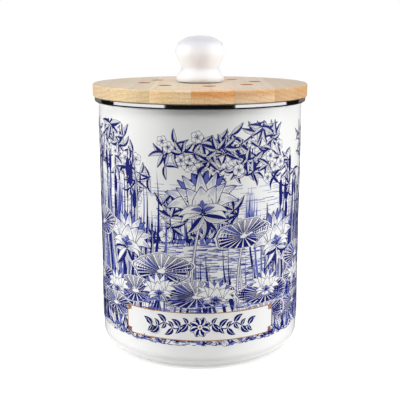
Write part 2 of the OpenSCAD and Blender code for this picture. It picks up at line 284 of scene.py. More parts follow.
def oiled_beech():
    """Beech staves along Y: own tones, growth rings, streaks, clouds, rays, glue, thin oil, painted top sheen
    and shade.
    """
    made, tree, shader = finish_of("Beech, sanded and oiled", "#E0BC8C", Roughness=0.46, IOR=1.47)
    place = add(tree, "TexCoord").outputs["Object"]
    parts = add(tree, "SeparateXYZ", {0: place}).outputs
    number, tone, edge = stave_of(tree, parts["X"])
    rings, streaks, cloud, rays = grain(tree, place, number)
    facing = add(tree, "SeparateXYZ", {0: add(tree, "TexCoord").outputs["Normal"]}).outputs["Z"]
    upward = add(tree, "MapRange", {0: facing, 1: 0.3, 2: 1.0})
    starts = np.arange(STAVES) / STAVES
    pale, heart = (
        add(tree, "ValToRGB", {0: tone}, tuple(zip(starts, tones)), interpolation="CONSTANT")
        for tones in (STAVE_TONES, HEART_TONES)
    )
    wood = add(tree, "Mix", {0: heartwood(tree, parts["Z"], cloud, upward), 6: pale, 7: heart}, **BLEND)
    for amount, pattern, stops in (
        (0.55, rings, ((0.0, "#FFFFFF"), (0.72, "#F7EFE4"), (1.0, "#DDC2A0"))),
        (0.5, streaks, ((0.32, "#D9BD9A"), (0.55, "#FFFFFF"))),
        (0.6, cloud, ((0.3, "#EFDCC4"), (0.7, "#FFFFFF"))),
    ):
        wood = add(tree, "Mix", {0: amount, 6: wood, 7: add(tree, "ValToRGB", {0: pattern}, stops)}, **TINT)
    dark = add(tree, "ValToRGB", {0: rays}, ((0.63, "#000000"), (0.7, "#FFFFFF")))
    faint = add(tree, "Math", {0: dark, 1: 0.4}, operation="MULTIPLY")
    wood = add(tree, "Mix", {0: faint, 6: wood, 7: linear(RAY)}, **BLEND)
    joint = add(tree, "Math", {0: edge, 1: 0.004}, operation="LESS_THAN")
    glued = add(tree, "Mix", {0: 0.45, 6: wood, 7: linear(GLUE)}, **TINT)
    wood = add(tree, "Mix", {0: joint, 6: wood, 7: glued}, **BLEND)
    # Painted sheen and painted shade: the faces that look up turn greyer and darker.
    top_sheen_share = add(tree, "Math", {0: upward, 1: 0.65}, operation="MULTIPLY")
    wood = add(tree, "Mix", {0: top_sheen_share, 6: wood, 7: linear(TOP_SHEEN_SHADE)}, **BLEND)
    relief = add(tree, "Bump", {"Height": streaks, "Distance": 0.05 * MM})
    feed(shader, {"Base Color": wood, "Normal": relief})
    return made


def drilled_wood():
    """The wall of a bored hole: torn end grain, rough, its dark brown partly end grain and partly painted
    shade.
    """
    made, tree, shader = finish_of("Beech, bored", "#8E5728", Roughness=0.8, IOR=1.45)
    place = add(tree, "TexCoord").outputs["Object"]
    torn = add(tree, "TexNoise", {"Vector": place, "Scale": per(0.7), "Detail": 3.0})
    # Dark browns: the end grain's own tone and painted shade inside the hole.
    tone = add(tree, "ValToRGB", {0: torn}, ((0.35, "#79441B"), (0.65, "#A96833")))
    relief = add(tree, "Bump", {"Height": torn, "Distance": 0.1 * MM})
    feed(shader, {"Base Color": tone, "Normal": relief})
    return made


beech = oiled_beech()
bored_beech = drilled_wood()
print("made:", beech.name, "/", bored_beech.name, "in", STAVES, "staves")

# %% [markdown]
# ## Porcelain
#
# The knob is glazed porcelain: a white body under a thin layer of clear glass. Porcelain is a
# little translucent, so some light spreads inside it and lifts the shade under the head. The crown
# is painted a shade greyer than the waist where it faces up: a painted shade on the top.

# %% Glazed porcelain
PORCELAIN = "#E3E3E5"
CROWN_SHADE = "#B7B7BD"  # the crown's painted shade, where it faces up
CROWN_SHADE_LOW, CROWN_SHADE_TOP = 240.0, 250.0  # the heights between which that painted shade sets in


def glazed_porcelain():
    """White porcelain under clear glaze: light travels some millimetres into the body; painted shade greys
    the crown.
    """
    made, tree, shader = finish_of(
        "Porcelain, glazed", PORCELAIN, Roughness=0.3, IOR=1.5,
        Subsurface_Weight=1.0, Subsurface_Radius=(1.0, 0.97, 0.94), Subsurface_Scale=20 * MM,
    )
    at = add(tree, "TexCoord").outputs
    waves = add(tree, "TexNoise", {"Vector": at["Object"], "Scale": per(11), "Detail": 1.0})
    facing, height = (add(tree, "SeparateXYZ", {0: at[key]}).outputs["Z"] for key in ("Normal", "Object"))
    # The crown, where it faces up, takes a grey: a painted shade on the top of the knob.
    crown = add(tree, "MapRange", {0: height, 1: CROWN_SHADE_LOW * MM, 2: CROWN_SHADE_TOP * MM})
    upward = add(tree, "MapRange", {0: facing, 1: -0.1, 2: 0.8})
    crown_shade_share = add(tree, "Math", {0: crown, 1: upward}, operation="MULTIPLY")
    glaze = add(tree, "Mix", {0: crown_shade_share, 6: linear(PORCELAIN), 7: linear(CROWN_SHADE)}, **BLEND)
    relief = add(tree, "Bump", {"Height": waves, "Distance": 0.05 * MM})
    feed(shader, {"Base Color": glaze, "Normal": relief})
    return made


porcelain = glazed_porcelain()
print("made:", porcelain.name)

# %% [markdown]
# ## Silicone, rubber, plastic and felt
#
# Silicone is soft and matt and lets a little light in. The washer under the knob is dark rubber.
# The filter's ring and basket are moulded polypropylene. All three have the fine even sand of
# their mould, drawn at half a millimetre, some five times its real grit, so that it shows at all.
# The charcoal felt is needled fibre: it drinks the light, and only a short fuzz catches it.

# %% Moulded finishes and felt


def sanded(name, code, roughness, grit, depth, **sockets):
    """A moulded or cast rubber or plastic, with sand that is grit millimetres apart and depth high."""
    made, tree, shader = finish_of(name, code, IOR=1.49, **sockets)
    place = add(tree, "TexCoord").outputs["Object"]
    sand = add(tree, "TexNoise", {"Vector": place, "Scale": per(grit), "Detail": 2.0})
    cloud = add(tree, "TexNoise", {"Vector": place, "Scale": per(grit * 40), "Detail": 2.0})
    shine = add(tree, "MapRange", {0: cloud, 3: roughness - 0.05, 4: roughness + 0.05})
    feed(shader, {"Roughness": shine, "Normal": add(tree, "Bump", {"Height": sand, "Distance": depth * MM})})
    return made


def charcoal_felt():
    """Needled felt of charcoal fibre: nearly black, matt, with curled fibres 0.6 mm apart."""
    made, tree, shader = finish_of("Felt, activated charcoal", "#202022", Roughness=0.95, Sheen_Weight=0.4)
    place = add(tree, "TexCoord").outputs["Object"]
    bent = add(tree, "TexNoise", {"Vector": place, "Scale": per(5), "Detail": 2.0}).outputs["Color"]
    curl = add(tree, "VectorMath", {0: bent, 1: (6 * MM, 6 * MM, 6 * MM)}, operation="MULTIPLY")
    moved = add(tree, "VectorMath", {0: place, 1: curl}, operation="ADD")
    fibre = add(tree, "TexNoise", {"Vector": moved, "Scale": per(0.6), "Detail": 3.0, "Roughness": 0.7})
    tone = add(tree, "ValToRGB", {0: fibre}, ((0.35, "#111112"), (0.65, "#3A3A3D")))
    relief = add(tree, "Bump", {"Height": fibre, "Distance": 0.4 * MM})
    feed(shader, {"Base Color": tone, "Normal": relief})
    return made


THIN_GLOW = {"Subsurface_Weight": 0.15, "Subsurface_Radius": (2 * MM,) * 3}
silicone = sanded("Silicone, translucent white", "#DEDEDA", 0.5, 0.6, 0.01, **THIN_GLOW)
rubber = sanded("Rubber, dark", "#4A3A30", 0.75, 0.5, 0.02)
plastic = sanded("Polypropylene, moulded", "#E6E3DB", 0.42, 0.45, 0.02)
felt = charcoal_felt()
print("made:", silicone.name, "/", rubber.name, "/", plastic.name, "/", felt.name)

# %% [markdown]
# ## Turning an outline
#
# The pot, the rim, the lid and the knob are all turned shapes. A turned shape needs only half of
# its section: a list of corners as (radius, height), some of them rounded. The first function
# replaces each rounded corner by an arc that touches both its sides. It also puts a holding point
# a little beyond each end of the arc. Smooth shading spreads the change of direction over the
# neighbouring faces, and the holding points keep that change out of the long flat stretches.

# %% Outlines with rounded corners
ARC_STEP = math.radians(9)
HOLD = 0.35


def outline(corners):
    """Points of a path through (radius, height, rounding) corners, in millimetres.

    At a corner with unit directions u to the last corner and v to the next, half the angle between
    them is h. The arc starts rounding / tan(h) along u, ends as far along v, and its centre lies
    rounding / sin(h) along u + v.
    """
    spots = np.array([corner[:2] for corner in corners], float)
    path = []
    for i, (spot, corner) in enumerate(zip(spots, corners)):
        rounding = corner[2] if len(corner) > 2 else 0
        if not rounding:
            path.append(spot[None])
            continue
        sides = spots[[i - 1, (i + 1) % len(spots)]] - spot
        lengths = np.linalg.norm(sides, axis=1)
        u, v = sides / lengths[:, None]
        half = math.acos(float(np.clip(u @ v, -1, 1))) / 2
        reach = rounding / math.tan(half)
        centre = spot + (u + v) / np.linalg.norm(u + v) * rounding / math.sin(half)
        first = np.arctan2(*(spot + u * reach - centre)[::-1])
        last = np.arctan2(*(spot + v * reach - centre)[::-1])
        turn = (last - first + math.pi) % (2 * math.pi) - math.pi
        steps = max(3, math.ceil(abs(turn) / ARC_STEP))
        angle = first + turn * np.linspace(0, 1, steps + 1)
        hold = np.minimum(HOLD, 0.3 * (lengths - reach).clip(0))
        path.append((spot + u * (reach + hold[0]))[None])
        path.append(centre + rounding * np.stack([np.cos(angle), np.sin(angle)], 1))
        path.append((spot + v * (reach + hold[1]))[None])
    return np.concatenate(path)


print("a square with one rounded corner has", len(outline([(0, 0), (9, 0, 2), (9, 9), (0, 9)])), "points")

# %% [markdown]
# ## From an outline to a mesh
#
# A turned surface is a function of two parameters: how far along the outline, and how far round
# the axis. Numpy works out the whole grid of points at once, and foreach_set copies it into a
# mesh in one go. Where an outline ends on the axis, the last ring shrinks to one point, the pole,
# and the faces there are triangles. A closed outline joins its last ring to its first instead.

# %% Meshes from arrays of points
SMOOTH_ANGLE = math.radians(34)
NO_TRIANGLES = np.zeros((0, 3), int)


def build(name, points, quads, triangles, material):
    """A mesh object at the origin from points in millimetres and arrays of corner numbers."""
    mesh = bpy.data.meshes.new(name)
    corners = np.concatenate([np.ravel(quads), np.ravel(triangles)]).astype(np.int32)
    sizes = np.repeat([4, 3], [len(quads), len(triangles)])
    mesh.vertices.add(len(points))
    mesh.vertices.foreach_set("co", (points * MM).astype(np.float32).ravel())
    mesh.loops.add(len(corners))
    mesh.loops.foreach_set("vertex_index", corners)
    mesh.polygons.add(len(sizes))
    mesh.polygons.foreach_set("loop_start", (np.cumsum(sizes) - sizes).astype(np.int32))
    mesh.materials.append(material)
    mesh.update(calc_edges=True)
    made = bpy.data.objects.new(name, mesh)
    bpy.context.scene.collection.objects.link(made)
    return made


def soften(piece, angle=SMOOTH_ANGLE):
    """Smooth shading, with edges sharper than the angle kept crisp."""
    piece.data.shade_smooth()
    piece.data.set_sharp_from_angle(angle=angle)
    return piece


print("edges sharper than", round(math.degrees(SMOOTH_ANGLE)), "degrees stay crisp")

# %% Turn a path


def turned(path, turns, closed=False, centre=(0, 0)):
    """Points and faces of a turned path: x = r cos(a), y = r sin(a), z = height, about a centre.

    The path runs with the solid on its left, so that its faces point outwards.
    """
    poles = [] if closed else [k for k in (0, -1) if abs(path[k, 0]) < 1e-6]
    rings = path[1 if 0 in poles else 0:len(path) - 1 if -1 in poles else len(path)]
    angle = np.linspace(0, 2 * np.pi, turns, endpoint=False)
    x = centre[0] + rings[:, :1] * np.cos(angle)
    y = centre[1] + rings[:, :1] * np.sin(angle)
    points = np.stack([x, y, np.broadcast_to(rings[:, 1:], x.shape)], -1).reshape(-1, 3)
    number = np.arange(len(rings) * turns).reshape(len(rings), turns)
    following = np.roll(number, -1, axis=1)
    lows = slice(None) if closed else slice(-1)
    highs = (np.roll(grid, -1, axis=0)[lows] for grid in (following, number))
    quads = np.stack([number[lows], following[lows], *highs], -1).reshape(-1, 4)
    triangles = []
    for k in poles:
        tip = np.full(turns, len(points))
        points = np.concatenate([points, [[*centre, path[k, 1]]]])
        order = (tip, following[0], number[0]) if k == 0 else (tip, number[-1], following[-1])
        triangles.append(np.stack(order, -1))
    return points, quads, np.concatenate(triangles) if triangles else NO_TRIANGLES


cup = turned(np.array([(0, 0), (5, 0), (5, 5)]), 12)
print("a cup in 12 steps has", len(cup[1]), "faces in its wall and", len(cup[2]), "round its pole")

# %% [markdown]
# ## Dressing the imported model
#
# A new piece takes the place of imported ones: it rides on the body that they belong to, so it
# moves with that body, and the imported pieces it stands for are hidden.

# %% Dress a piece


def dress(piece, body, slot, *nodes):
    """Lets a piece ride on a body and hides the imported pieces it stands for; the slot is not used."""
    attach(piece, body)
    if nodes:
        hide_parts(*nodes)
    print(piece.name, "faces", len(piece.data.polygons), "on", body)
    return piece


print("packed nodes to dress:", len(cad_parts))

# %% [markdown]
# ## The pot
#
# The pot is one pressed steel sheet: a raised middle so that it stands on a flat ring, a rounded
# corner, a straight wall, and a small flange at the top that the rim grips. The outline goes round
# the whole sheet, up the outside and back down the inside, so the wall is closed and has its real
# thickness. It could be a cylinder with a Solidify modifier, but then the flange and the raised
# base would have to be added to it.

# %% Turn the pot
TURNS = 288
KICK_R, KICK_H = 66.0, 2.0  # the raised middle of the base
RIM_SHEET = 0.6  # the rim's own steel, which lies over the pot's
SHELL_TOP = rim_top - RIM_SHEET
FLANGE_R = 86.9

pot_path = outline([
    (0, KICK_H), (KICK_R - KICK_H, KICK_H, 2), (KICK_R, 0, 1.5), (wall_r, 0, corner_r),
    (wall_r, SHELL_TOP - sheet), (FLANGE_R, SHELL_TOP - sheet), (FLANGE_R, SHELL_TOP),
    (wall_r - sheet, SHELL_TOP, sheet * 0.95), (wall_r - sheet, sheet, corner_r - sheet),
    (KICK_R, sheet, 1.5), (KICK_R - KICK_H, KICK_H + sheet, 2), (0, KICK_H + sheet),
])
pot = build("enamel_pot", *turned(pot_path, TURNS), enamel)
dress(soften(pot), "pot", "enamel", "body_shell")

# %% [markdown]
# ## The rolled rim
#
# A narrow strip of bright steel is rolled over the pot's flange and closed against the wall. In
# section it is a hook: flat on top, a crisp fold at the upper edge, a narrow flat face down the
# outside and a rolled edge below. The face matters, because a full round would mirror the wood
# above it and the floor below it in equal parts. The hook is a closed outline that never touches
# the axis, so the turned shape is a ring with no poles.

# %% Turn the rim
RIM_ROUND = 1.4  # of its lower edge
RIM_FOLD = 0.4  # of its upper edge
RIM_INNER = 85.0
RIM_FOOT = wall_r + 0.02  # where it closes against the wall
hollow_r = rim_r - RIM_SHEET
rim_path = outline([
    (RIM_FOOT, rim_low), (rim_r, rim_low, RIM_ROUND), (rim_r, rim_top, RIM_FOLD),
    (RIM_INNER, rim_top, 0.25), (RIM_INNER, rim_top - RIM_SHEET), (hollow_r, rim_top - RIM_SHEET),
    (hollow_r, rim_low + RIM_SHEET, RIM_ROUND - RIM_SHEET), (RIM_FOOT, rim_low + RIM_SHEET),
])
rim = build("steel_rim", *turned(rim_path, TURNS, closed=True), steel)
dress(soften(rim), "pot", "rim_steel", "rim_ring")

# %% [markdown]
# ## The lid
#
# The lid is turned first and drilled afterwards, as in the workshop. Its outline is a cap with
# rounded edges over a plug that drops into the pot, with a groove for the seal. The holes could be
# drawn into the grid of points, but a Boolean modifier cuts them as cleanly, and the drills stay
# readable: each one is a turned shape as well. The faces a drill leaves keep the drill's own
# finish, the rough dark brown of a bored hole, partly end grain's tone and partly painted shade.
# The modifier is applied at once, so that the finished mesh stands alone.

# %% Shapes that cut


def joined(parts):
    """Several shapes as one set of points and faces."""
    starts = np.cumsum([0] + [len(part[0]) for part in parts])
    return tuple(
        np.concatenate([part[k] + (0 if k == 0 else start) for part, start in zip(parts, starts)])
        for k in range(3)
    )


def shaped_mesh(piece):
    """Makes what the modifiers of a piece give its mesh, and takes them off."""
    bpy.context.view_layer.update()
    shaped = piece.evaluated_get(bpy.context.evaluated_depsgraph_get())
    piece.data = bpy.data.meshes.new_from_object(shaped)
    piece.modifiers.clear()


def cut(piece, tools):
    """Takes the tools away from the piece and keeps the result as its mesh."""
    modifier = piece.modifiers.new("cut", "BOOLEAN")
    modifier.object = tools
    modifier.solver = "EXACT"
    modifier.material_mode = "TRANSFER"
    shaped_mesh(piece)
    bpy.data.objects.remove(tools)
    return piece


print("two cups joined have", len(joined([cup, cup])[0]), "points")

# %% Turn the lid and drill it
LID_ROUND, LID_LOW_ROUND = 1.5, 0.7
VENTS, VENT_R, VENT_CHAMFER, VENT_RING = 8, 4.5, 1.0, 47.0
VENT_PHASE = math.radians(8.6 - 90)
RECESS_R, RECESS_TOP = 7.0, plug_low + 5  # for the head of the knob's screw and its washer
SHANK_R = 2.8
SCREWS, SCREW_RING, PILOT_R, PILOT_DEPTH = 4, 72.9, 1.55, 9.5
PAST = 2  # a drill starts this far outside the wood


def ring_of_drills(path, radius, count, phase, turns=56):
    """The same turned drill at count places round a circle."""
    angle = phase + np.arange(count) * 2 * np.pi / count
    return [turned(path, turns, centre=(radius * np.cos(a), radius * np.sin(a))) for a in angle]


lid_path = outline([
    (0, plug_low), (plug_r, plug_low, 0.8), (plug_r, seal_low), (groove_r, seal_low), (groove_r, seal_top),
    (plug_r, seal_top), (plug_r, cap_low), (lid_r, cap_low, LID_LOW_ROUND), (lid_r, lid_top, LID_ROUND),
    (0, lid_top),
])
lid = build("wooden_lid", *turned(lid_path, TURNS), beech)
start = plug_low - PAST
vent_path = outline([
    (0, start), (VENT_R, start), (VENT_R, lid_top - VENT_CHAMFER), (VENT_R + VENT_CHAMFER + 1, lid_top + 1),
    (0, lid_top + 1),
])
shank_path = np.array([
    (0, start), (RECESS_R, start), (RECESS_R, RECESS_TOP), (SHANK_R, RECESS_TOP), (SHANK_R, lid_top + PAST),
    (0, lid_top + PAST),
])
pilot_path = np.array([
    (0, start), (PILOT_R, start), (PILOT_R, plug_low + PILOT_DEPTH), (0, plug_low + PILOT_DEPTH + 0.1),
])
pilot_phase = math.radians(45)
drills = [
    *ring_of_drills(vent_path, VENT_RING, VENTS, VENT_PHASE), turned(shank_path, 56),
    *ring_of_drills(pilot_path, SCREW_RING, SCREWS, pilot_phase, 20),
]
dress(soften(cut(lid, build("drills", *joined(drills), bored_beech))), "lid", "beech", "lid_board")
print("vents", VENTS, "of", 2 * VENT_R, "mm")

# %% [markdown]
# ## The seal
#
# A silicone band sits in the plug's groove. Two thin lips slope up from it and wipe the pot's
# wall, which keeps smells in and still lets the lid come off with one hand. The outline is drawn
# once round the band and its lips, and the tips are rounded as a mould would leave them.

# %% Turn the seal
LIP, LIP_RISE = 0.9, 1.1  # thickness of a lip, and how far it slopes up
seal_corners = [(groove_r, seal_low), (plug_r, seal_low)]
for z in (seal_low + LIP / 2, seal_top - LIP - LIP_RISE):
    tip = z + LIP_RISE
    seal_corners += [(plug_r, z, 0.2), (seal_r, tip, 0.15), (seal_r, tip + LIP * 0.6, 0.2)]
    seal_corners.append((plug_r, z + LIP, 0.2))
seal_corners += [(plug_r, seal_top), (groove_r, seal_top)]
seal = build("silicone_seal", *turned(outline(seal_corners), 192, closed=True), silicone)
dress(soften(seal), "lid", "silicone", "lid_seal")

# %% [markdown]
# ## The knob
#
# The knob is thrown or cast porcelain. Its outline has four stretches: a rounded foot, a cove that
# draws in to the neck, a throat that swells into the head, and a domed crown. Easing curves join
# them without a kink. Each stretch is one formula over an array of steps, and the whole outline
# is then turned like the rest.

# %% Turn the knob
FOOT_R, FOOT_ROUND = 20.1, 2.8
NECK_R, NECK_Z = 15.9, 12.1
HEAD_Z = 25.4  # where the head is widest
KNOB_H = knob_top - knob_low
CROWN_POWER, THROAT_POWER = 2.3, 0.78
BORE_R, BORE_DEPTH = 4.5, 13.0  # the blind hole for the brass insert


def ease(s):
    """Rises from 0 to 1 with level ends: s^2 (3 - 2 s)."""
    return s * s * (3 - 2 * s)


def stretch(radius, height):
    """Steps of an outline from arrays of radius and height."""
    return np.stack([radius, height], 1)


def knob_outline(steps=26):
    """Foot, cove, throat and crown as (radius, height) above the knob's foot, in millimetres.

    The foot is a quarter circle. Cove and throat ease from one radius to the next. The crown is a
    quarter of a superellipse: |r / R|^p + |z / H|^p = 1.
    """
    s = np.linspace(0, 1, steps)
    sine, cosine = np.sin(s * np.pi / 2), np.cos(s * np.pi / 2)
    foot = stretch(FOOT_R - FOOT_ROUND + FOOT_ROUND * sine, FOOT_ROUND - FOOT_ROUND * cosine)
    cove = stretch(FOOT_R + (NECK_R - FOOT_R) * ease(s), FOOT_ROUND + (NECK_Z - FOOT_ROUND) * s)
    swell = (knob_head_r - NECK_R) * ease(s ** THROAT_POWER)
    throat = stretch(NECK_R + swell, NECK_Z + (HEAD_Z - NECK_Z) * s)
    domed = HEAD_Z + (KNOB_H - HEAD_Z) * sine ** (2 / CROWN_POWER)
    crown = stretch(knob_head_r * cosine.clip(0) ** (2 / CROWN_POWER), domed)
    crown[-1] = (0, KNOB_H)
    bore = np.array([(0, BORE_DEPTH), (BORE_R, BORE_DEPTH), (BORE_R, 0)])
    return np.concatenate([bore, foot, cove[1:], throat[1:], crown[1:]])


knob = build("porcelain_knob", *turned(knob_outline() + (0, knob_low), 160), porcelain)
dress(soften(knob, math.radians(50)), "lid", "porcelain", "knob")

# %% [markdown]
# ## Small hardware and the filter
#
# The soft washer, the screws, the filter's ring and its basket already have their true shape in
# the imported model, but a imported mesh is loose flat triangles. A copy of each is merged into one
# skin, shaded smooth between its crisp edges, and given a narrow bevel where a moulding or a
# turned part has its edges broken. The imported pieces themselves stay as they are.

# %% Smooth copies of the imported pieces
MERGE = 0.01  # points nearer than this become one


def smoothed(node, name, body, slot, material, bevel=0.0, pierced=False):
    """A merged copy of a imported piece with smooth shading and, if asked, bevelled edges.

    A pierced piece keeps its triangles, because a flat face with holes can't be one polygon.
    """
    piece = bpy.data.objects.new(name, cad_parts[node].data.copy())
    piece.data.name = name
    bpy.context.scene.collection.objects.link(piece)
    steps = [("WELD", {"merge_threshold": MERGE * MM})]
    if not pierced:
        steps.append(("DECIMATE", {"decimate_type": "DISSOLVE", "angle_limit": math.radians(0.5)}))
    if bevel:
        angle = {"limit_method": "ANGLE", "angle_limit": math.radians(45)}
        steps.append(("BEVEL", {"width": bevel * MM, "segments": 2, **angle}))
    for kind, settings in steps:
        modifier = piece.modifiers.new(kind.lower(), kind)
        for key, value in settings.items():
            setattr(modifier, key, value)
    shaped_mesh(piece)
    piece.data.materials.clear()
    piece.data.materials.append(material)
    return dress(soften(piece), body, slot, node)


smoothed("knob_cushion", "rubber_washer", "lid", "cushion", rubber)
smoothed("knob_insert", "brass_insert", "lid", "brass", brass)
smoothed("knob_washer", "steel_washer", "lid", "zinc", zinc, 0.15)
smoothed("knob_screw", "socket_screw", "lid", "zinc", zinc, 0.2)
smoothed("filter_housing", "filter_ring", "lid", "moulding", plastic, 0.3)
smoothed("filter_basket", "filter_basket_moulded", "basket", "moulding", plastic, pierced=True)

# %% [markdown]
# ## Cross recesses in the wood screws
#
# Four countersunk screws hold the filter's ring. Each head needs its cross recess, because a plain
# cone would look unfinished from below. Two tapered blocks, crossed, are cut out of each head.

# %% The wood screws
SCREW_HEAD_Z = plug_low - 2.5
BIT_LONG, BIT_WIDE, BIT_DEEP = 2.0, 0.35, 1.1
BIT_START = 0.6  # it starts this far outside the head


def cross_bit(angle):
    """Two crossed blocks as one pointed star with eight sides, at the screw's place on its circle."""
    ring = np.array([BIT_LONG, BIT_WIDE * 1.4] * 4)
    turn = np.arange(8) * np.pi / 4
    outer = np.stack([ring * np.cos(turn), ring * np.sin(turn), np.full(8, -BIT_START)], 1)
    inner = outer * (0.55, 0.55, 0) + (0, 0, BIT_DEEP)
    points = np.concatenate([outer, inner, [[0, 0, -BIT_START], [0, 0, BIT_DEEP]]])
    points += (SCREW_RING * math.cos(angle), SCREW_RING * math.sin(angle), SCREW_HEAD_Z)
    k = np.arange(8)
    following = (k + 1) % 8
    quads = np.stack([k, following, following + 8, k + 8], 1)
    low = np.stack([following, k, np.full(8, 16)], 1)
    high = np.stack([k + 8, following + 8, np.full(8, 17)], 1)
    return points, quads, np.concatenate([low, high])


screws = smoothed("housing_screws", "wood_screws", "lid", "zinc", zinc)
bits = [cross_bit(angle) for angle in pilot_phase + np.arange(SCREWS) * 2 * np.pi / SCREWS]
soften(cut(screws, build("bits", *joined(bits), zinc)))
print("screws", len(screws.data.polygons), "faces")

# %% [markdown]
# ## The charcoal felt
#
# The felt disc is soft: its edge is rounded and its faces are not quite flat, because needled
# fibre never is. The disc is a grid from the middle of its underside round to the middle of its
# top, and each point moves a little by a sum of waves with fixed phases, strongest away from the
# edge. Fibres themselves would be far too many, so they are left to the material.

# %% The felt disc
FELT_ROUND = 2.2
FELT_WAVE = 0.22
disc_r = felt_r - 0.1  # a little room inside the basket


def felt_disc(rows=34, turns=160):
    """Turned disc with rounded edge; height moves by a sum of three waves in x and y, under 0.3 mm."""
    inner = np.linspace(0, felt_r - FELT_ROUND - 0.1, rows)
    under = stretch(inner, np.full(rows, felt_low))
    over = stretch(inner[::-1], np.full(rows, felt_top))
    corners = [(disc_r, felt_low, FELT_ROUND), (disc_r, felt_top, FELT_ROUND)]
    edge = outline([(0, felt_low), *corners, (0, felt_top)])
    points, quads, triangles = turned(np.concatenate([under, edge[2:-2], over]), turns)
    x, y, z = points.T
    waves = np.sin(x / 5.1 + 1.3) * np.sin(y / 6.3)
    waves = waves + 0.6 * np.sin(x / 2.9 + y / 3.7 + 2.0) + 0.4 * np.sin(x / 1.7 - y / 2.2)
    inward = np.where(z > (felt_low + felt_top) / 2, -1, 1)
    points[:, 2] += inward * FELT_WAVE * (1.6 + waves) / 2.5 * (np.hypot(x, y) < felt_r - 1)
    return points, quads, triangles


carbon = build("carbon_felt", *felt_disc(), felt)
dress(soften(carbon), "basket", "charcoal", "charcoal_disc")

# %% [markdown]
# ## The print: a way to draw on the wall
#
# A cobalt print is fired onto the enamel all the way round: a lotus pond under flowering plum
# branches, drawn as an engraver would, in outlines and hatching. An image texture could carry it,
# but here every mark is a real skin of ink, so it stays sharp at any distance.
#
# The drawing is made flat, on a sheet that unrolls the wall: the distance round it is the real
# part of a complex number and the height is the imaginary part, both in millimetres. A complex
# number makes a curve one short formula, and turning a direction is one multiplication. Each mark
# is a strip between a left edge and a right edge, and marks are listed in the order in which
# they are painted. White marks cover what lies behind a petal, as a painter's would.

# %% Curves on the unrolled wall
WHITE, NAVY, BLUE, GOLD = range(4)
ROUND_WALL = 2 * np.pi * wall_r
LINE = 0.58  # the pen's usual width
FINE = 0.36  # and the width of its finer outlines
CHORD = 2.2  # longest step round the wall
SAG_FINE = 0.09  # how finely a bend is divided
MOST_STEPS = 16
BAND_TOP = 196.0
marks = []
dice = np.random.default_rng(7)


def bend(start, end, sag, least=1):
    """Curve a + (b - a)(t + 4 i sag t (1 - t)): its middle stands sag times its length to the left.

    It has as many steps as its bend and the roundness of the wall need.
    """
    round_steps = math.ceil(abs((end - start).real) / CHORD)
    bend_steps = math.ceil((abs(sag) * abs(end - start) / SAG_FINE) ** 0.5)
    t = np.linspace(0, 1, min(max(least, round_steps, bend_steps), MOST_STEPS) + 1)
    return start + (end - start) * (t + 4j * sag * t * (1 - t))


def side(path):
    """Unit directions to the left of a path: its slope turned by a quarter, over its length."""
    slope = np.gradient(path)
    return 1j * slope / np.maximum(abs(slope), 1e-9)


def read_off(path, spots, steps):
    """A path's points at spots along it, where its own points stand at the given steps."""
    return np.interp(spots, steps, path.real) + 1j * np.interp(spots, steps, path.imag)


print("a level curve of 20 mm has", len(bend(0, 20, 0)), "points")

# %% Strips of ink


def fill(left, right, ink):
    """Paints the strip between two edges."""
    marks.append((left, right, ink))


def stroke(path, start, end=None, ink=NAVY):
    """A pen line whose width runs from start to end."""
    half = np.linspace(start, start if end is None else end, len(path)) / 2
    fill(path + half * side(path), path - half * side(path), ink)


def blade(axis, width, ink, line, swell, full=1.0):
    """A petal or leaf round its axis: half width w/2 sin(pi t^swell)^full. Returns it, as vectors.

    Its outline is the same shape in navy, larger by the line all round, painted just before it.
    """
    t = np.linspace(0, 1, len(axis))
    half = width / 2 * np.sin(np.pi * t ** swell).clip(0) ** full
    left = side(axis)
    if line:
        longer = axis.copy()
        longer[[0, -1]] += line * 1j * left[[0, -1]] * (1, -1)
        fill(longer + (half + line) * left, longer - (half + line) * left, NAVY)
    half = np.maximum(half, 0.04)
    fill(axis + half * left, axis - half * left, ink)
    return half * left


def veins(axis, reach, shares, first, last, width=0.38, ink=NAVY):
    """Lines in a blade, at shares of its half width, from the first to the last part of its axis."""
    t = np.linspace(0, 1, len(axis))
    run = abs((axis[-1] - axis[0]).real)
    for share, a, b in zip(*np.broadcast_arrays(shares, first, last)):
        spots = np.linspace(a, b, 1 + max(2, math.ceil(run * (b - a) / CHORD)))
        stroke(read_off(axis + share * reach, spots, t), width, width * 0.5, ink)


print("the band is", round(ROUND_WALL), "mm round")

# %% [markdown]
# ## The lotus
#
# Each plant is a few blades and strokes. A lotus is five rows of pointed petals, the back row
# first, hatched from their feet. Random numbers come from one seeded source, so that every run
# draws the same pond.

# %% The lotus
PETAL_ROWS = (  # length, angles to either side, width and drop, in shares of the flower's size
    (0.98, (34, 11), 0.30, 0.02), (1.0, (58, 24, 0), 0.34, 0.0), (0.86, (80, 42), 0.36, -0.02),
    (0.74, (28,), 0.42, -0.05), (0.66, (0,), 0.5, -0.06),
)
RICH_SIZE = 20  # flowers above this size get more hatching


def wash(axis, reach, last, share=0.84):
    """A light blue shade over the foot of a blade: share of its half width times (1 - t / last)^0.5."""
    t = np.linspace(0, 1, len(axis))
    rows = t < last + 0.5 / len(axis)
    narrow = (share * reach * np.sqrt((1 - t / last).clip(0.01)))[rows]
    fill(axis[rows] + narrow, axis[rows] - narrow, BLUE)


def petal(base, tip, width, sag, rich, ink=WHITE):
    """A pointed petal, hatched from its foot and, where it is large, from its tip as well."""
    axis = bend(base, tip, sag, 6 if rich else 5)
    reach = blade(axis, width, ink, LINE if rich else FINE, 0.62, 0.9)
    if ink == WHITE:
        wash(axis, reach, 0.5 if rich else 0.42)
    shares = np.linspace(-0.72, 0.72, 7 if rich else 4)
    veins(axis, reach, shares, 0.02, dice.uniform(0.35, 0.6, len(shares)))
    if rich:
        veins(axis, reach, shares[1:-1], dice.uniform(0.62, 0.74, len(shares) - 2), 1.0, 0.24, BLUE)


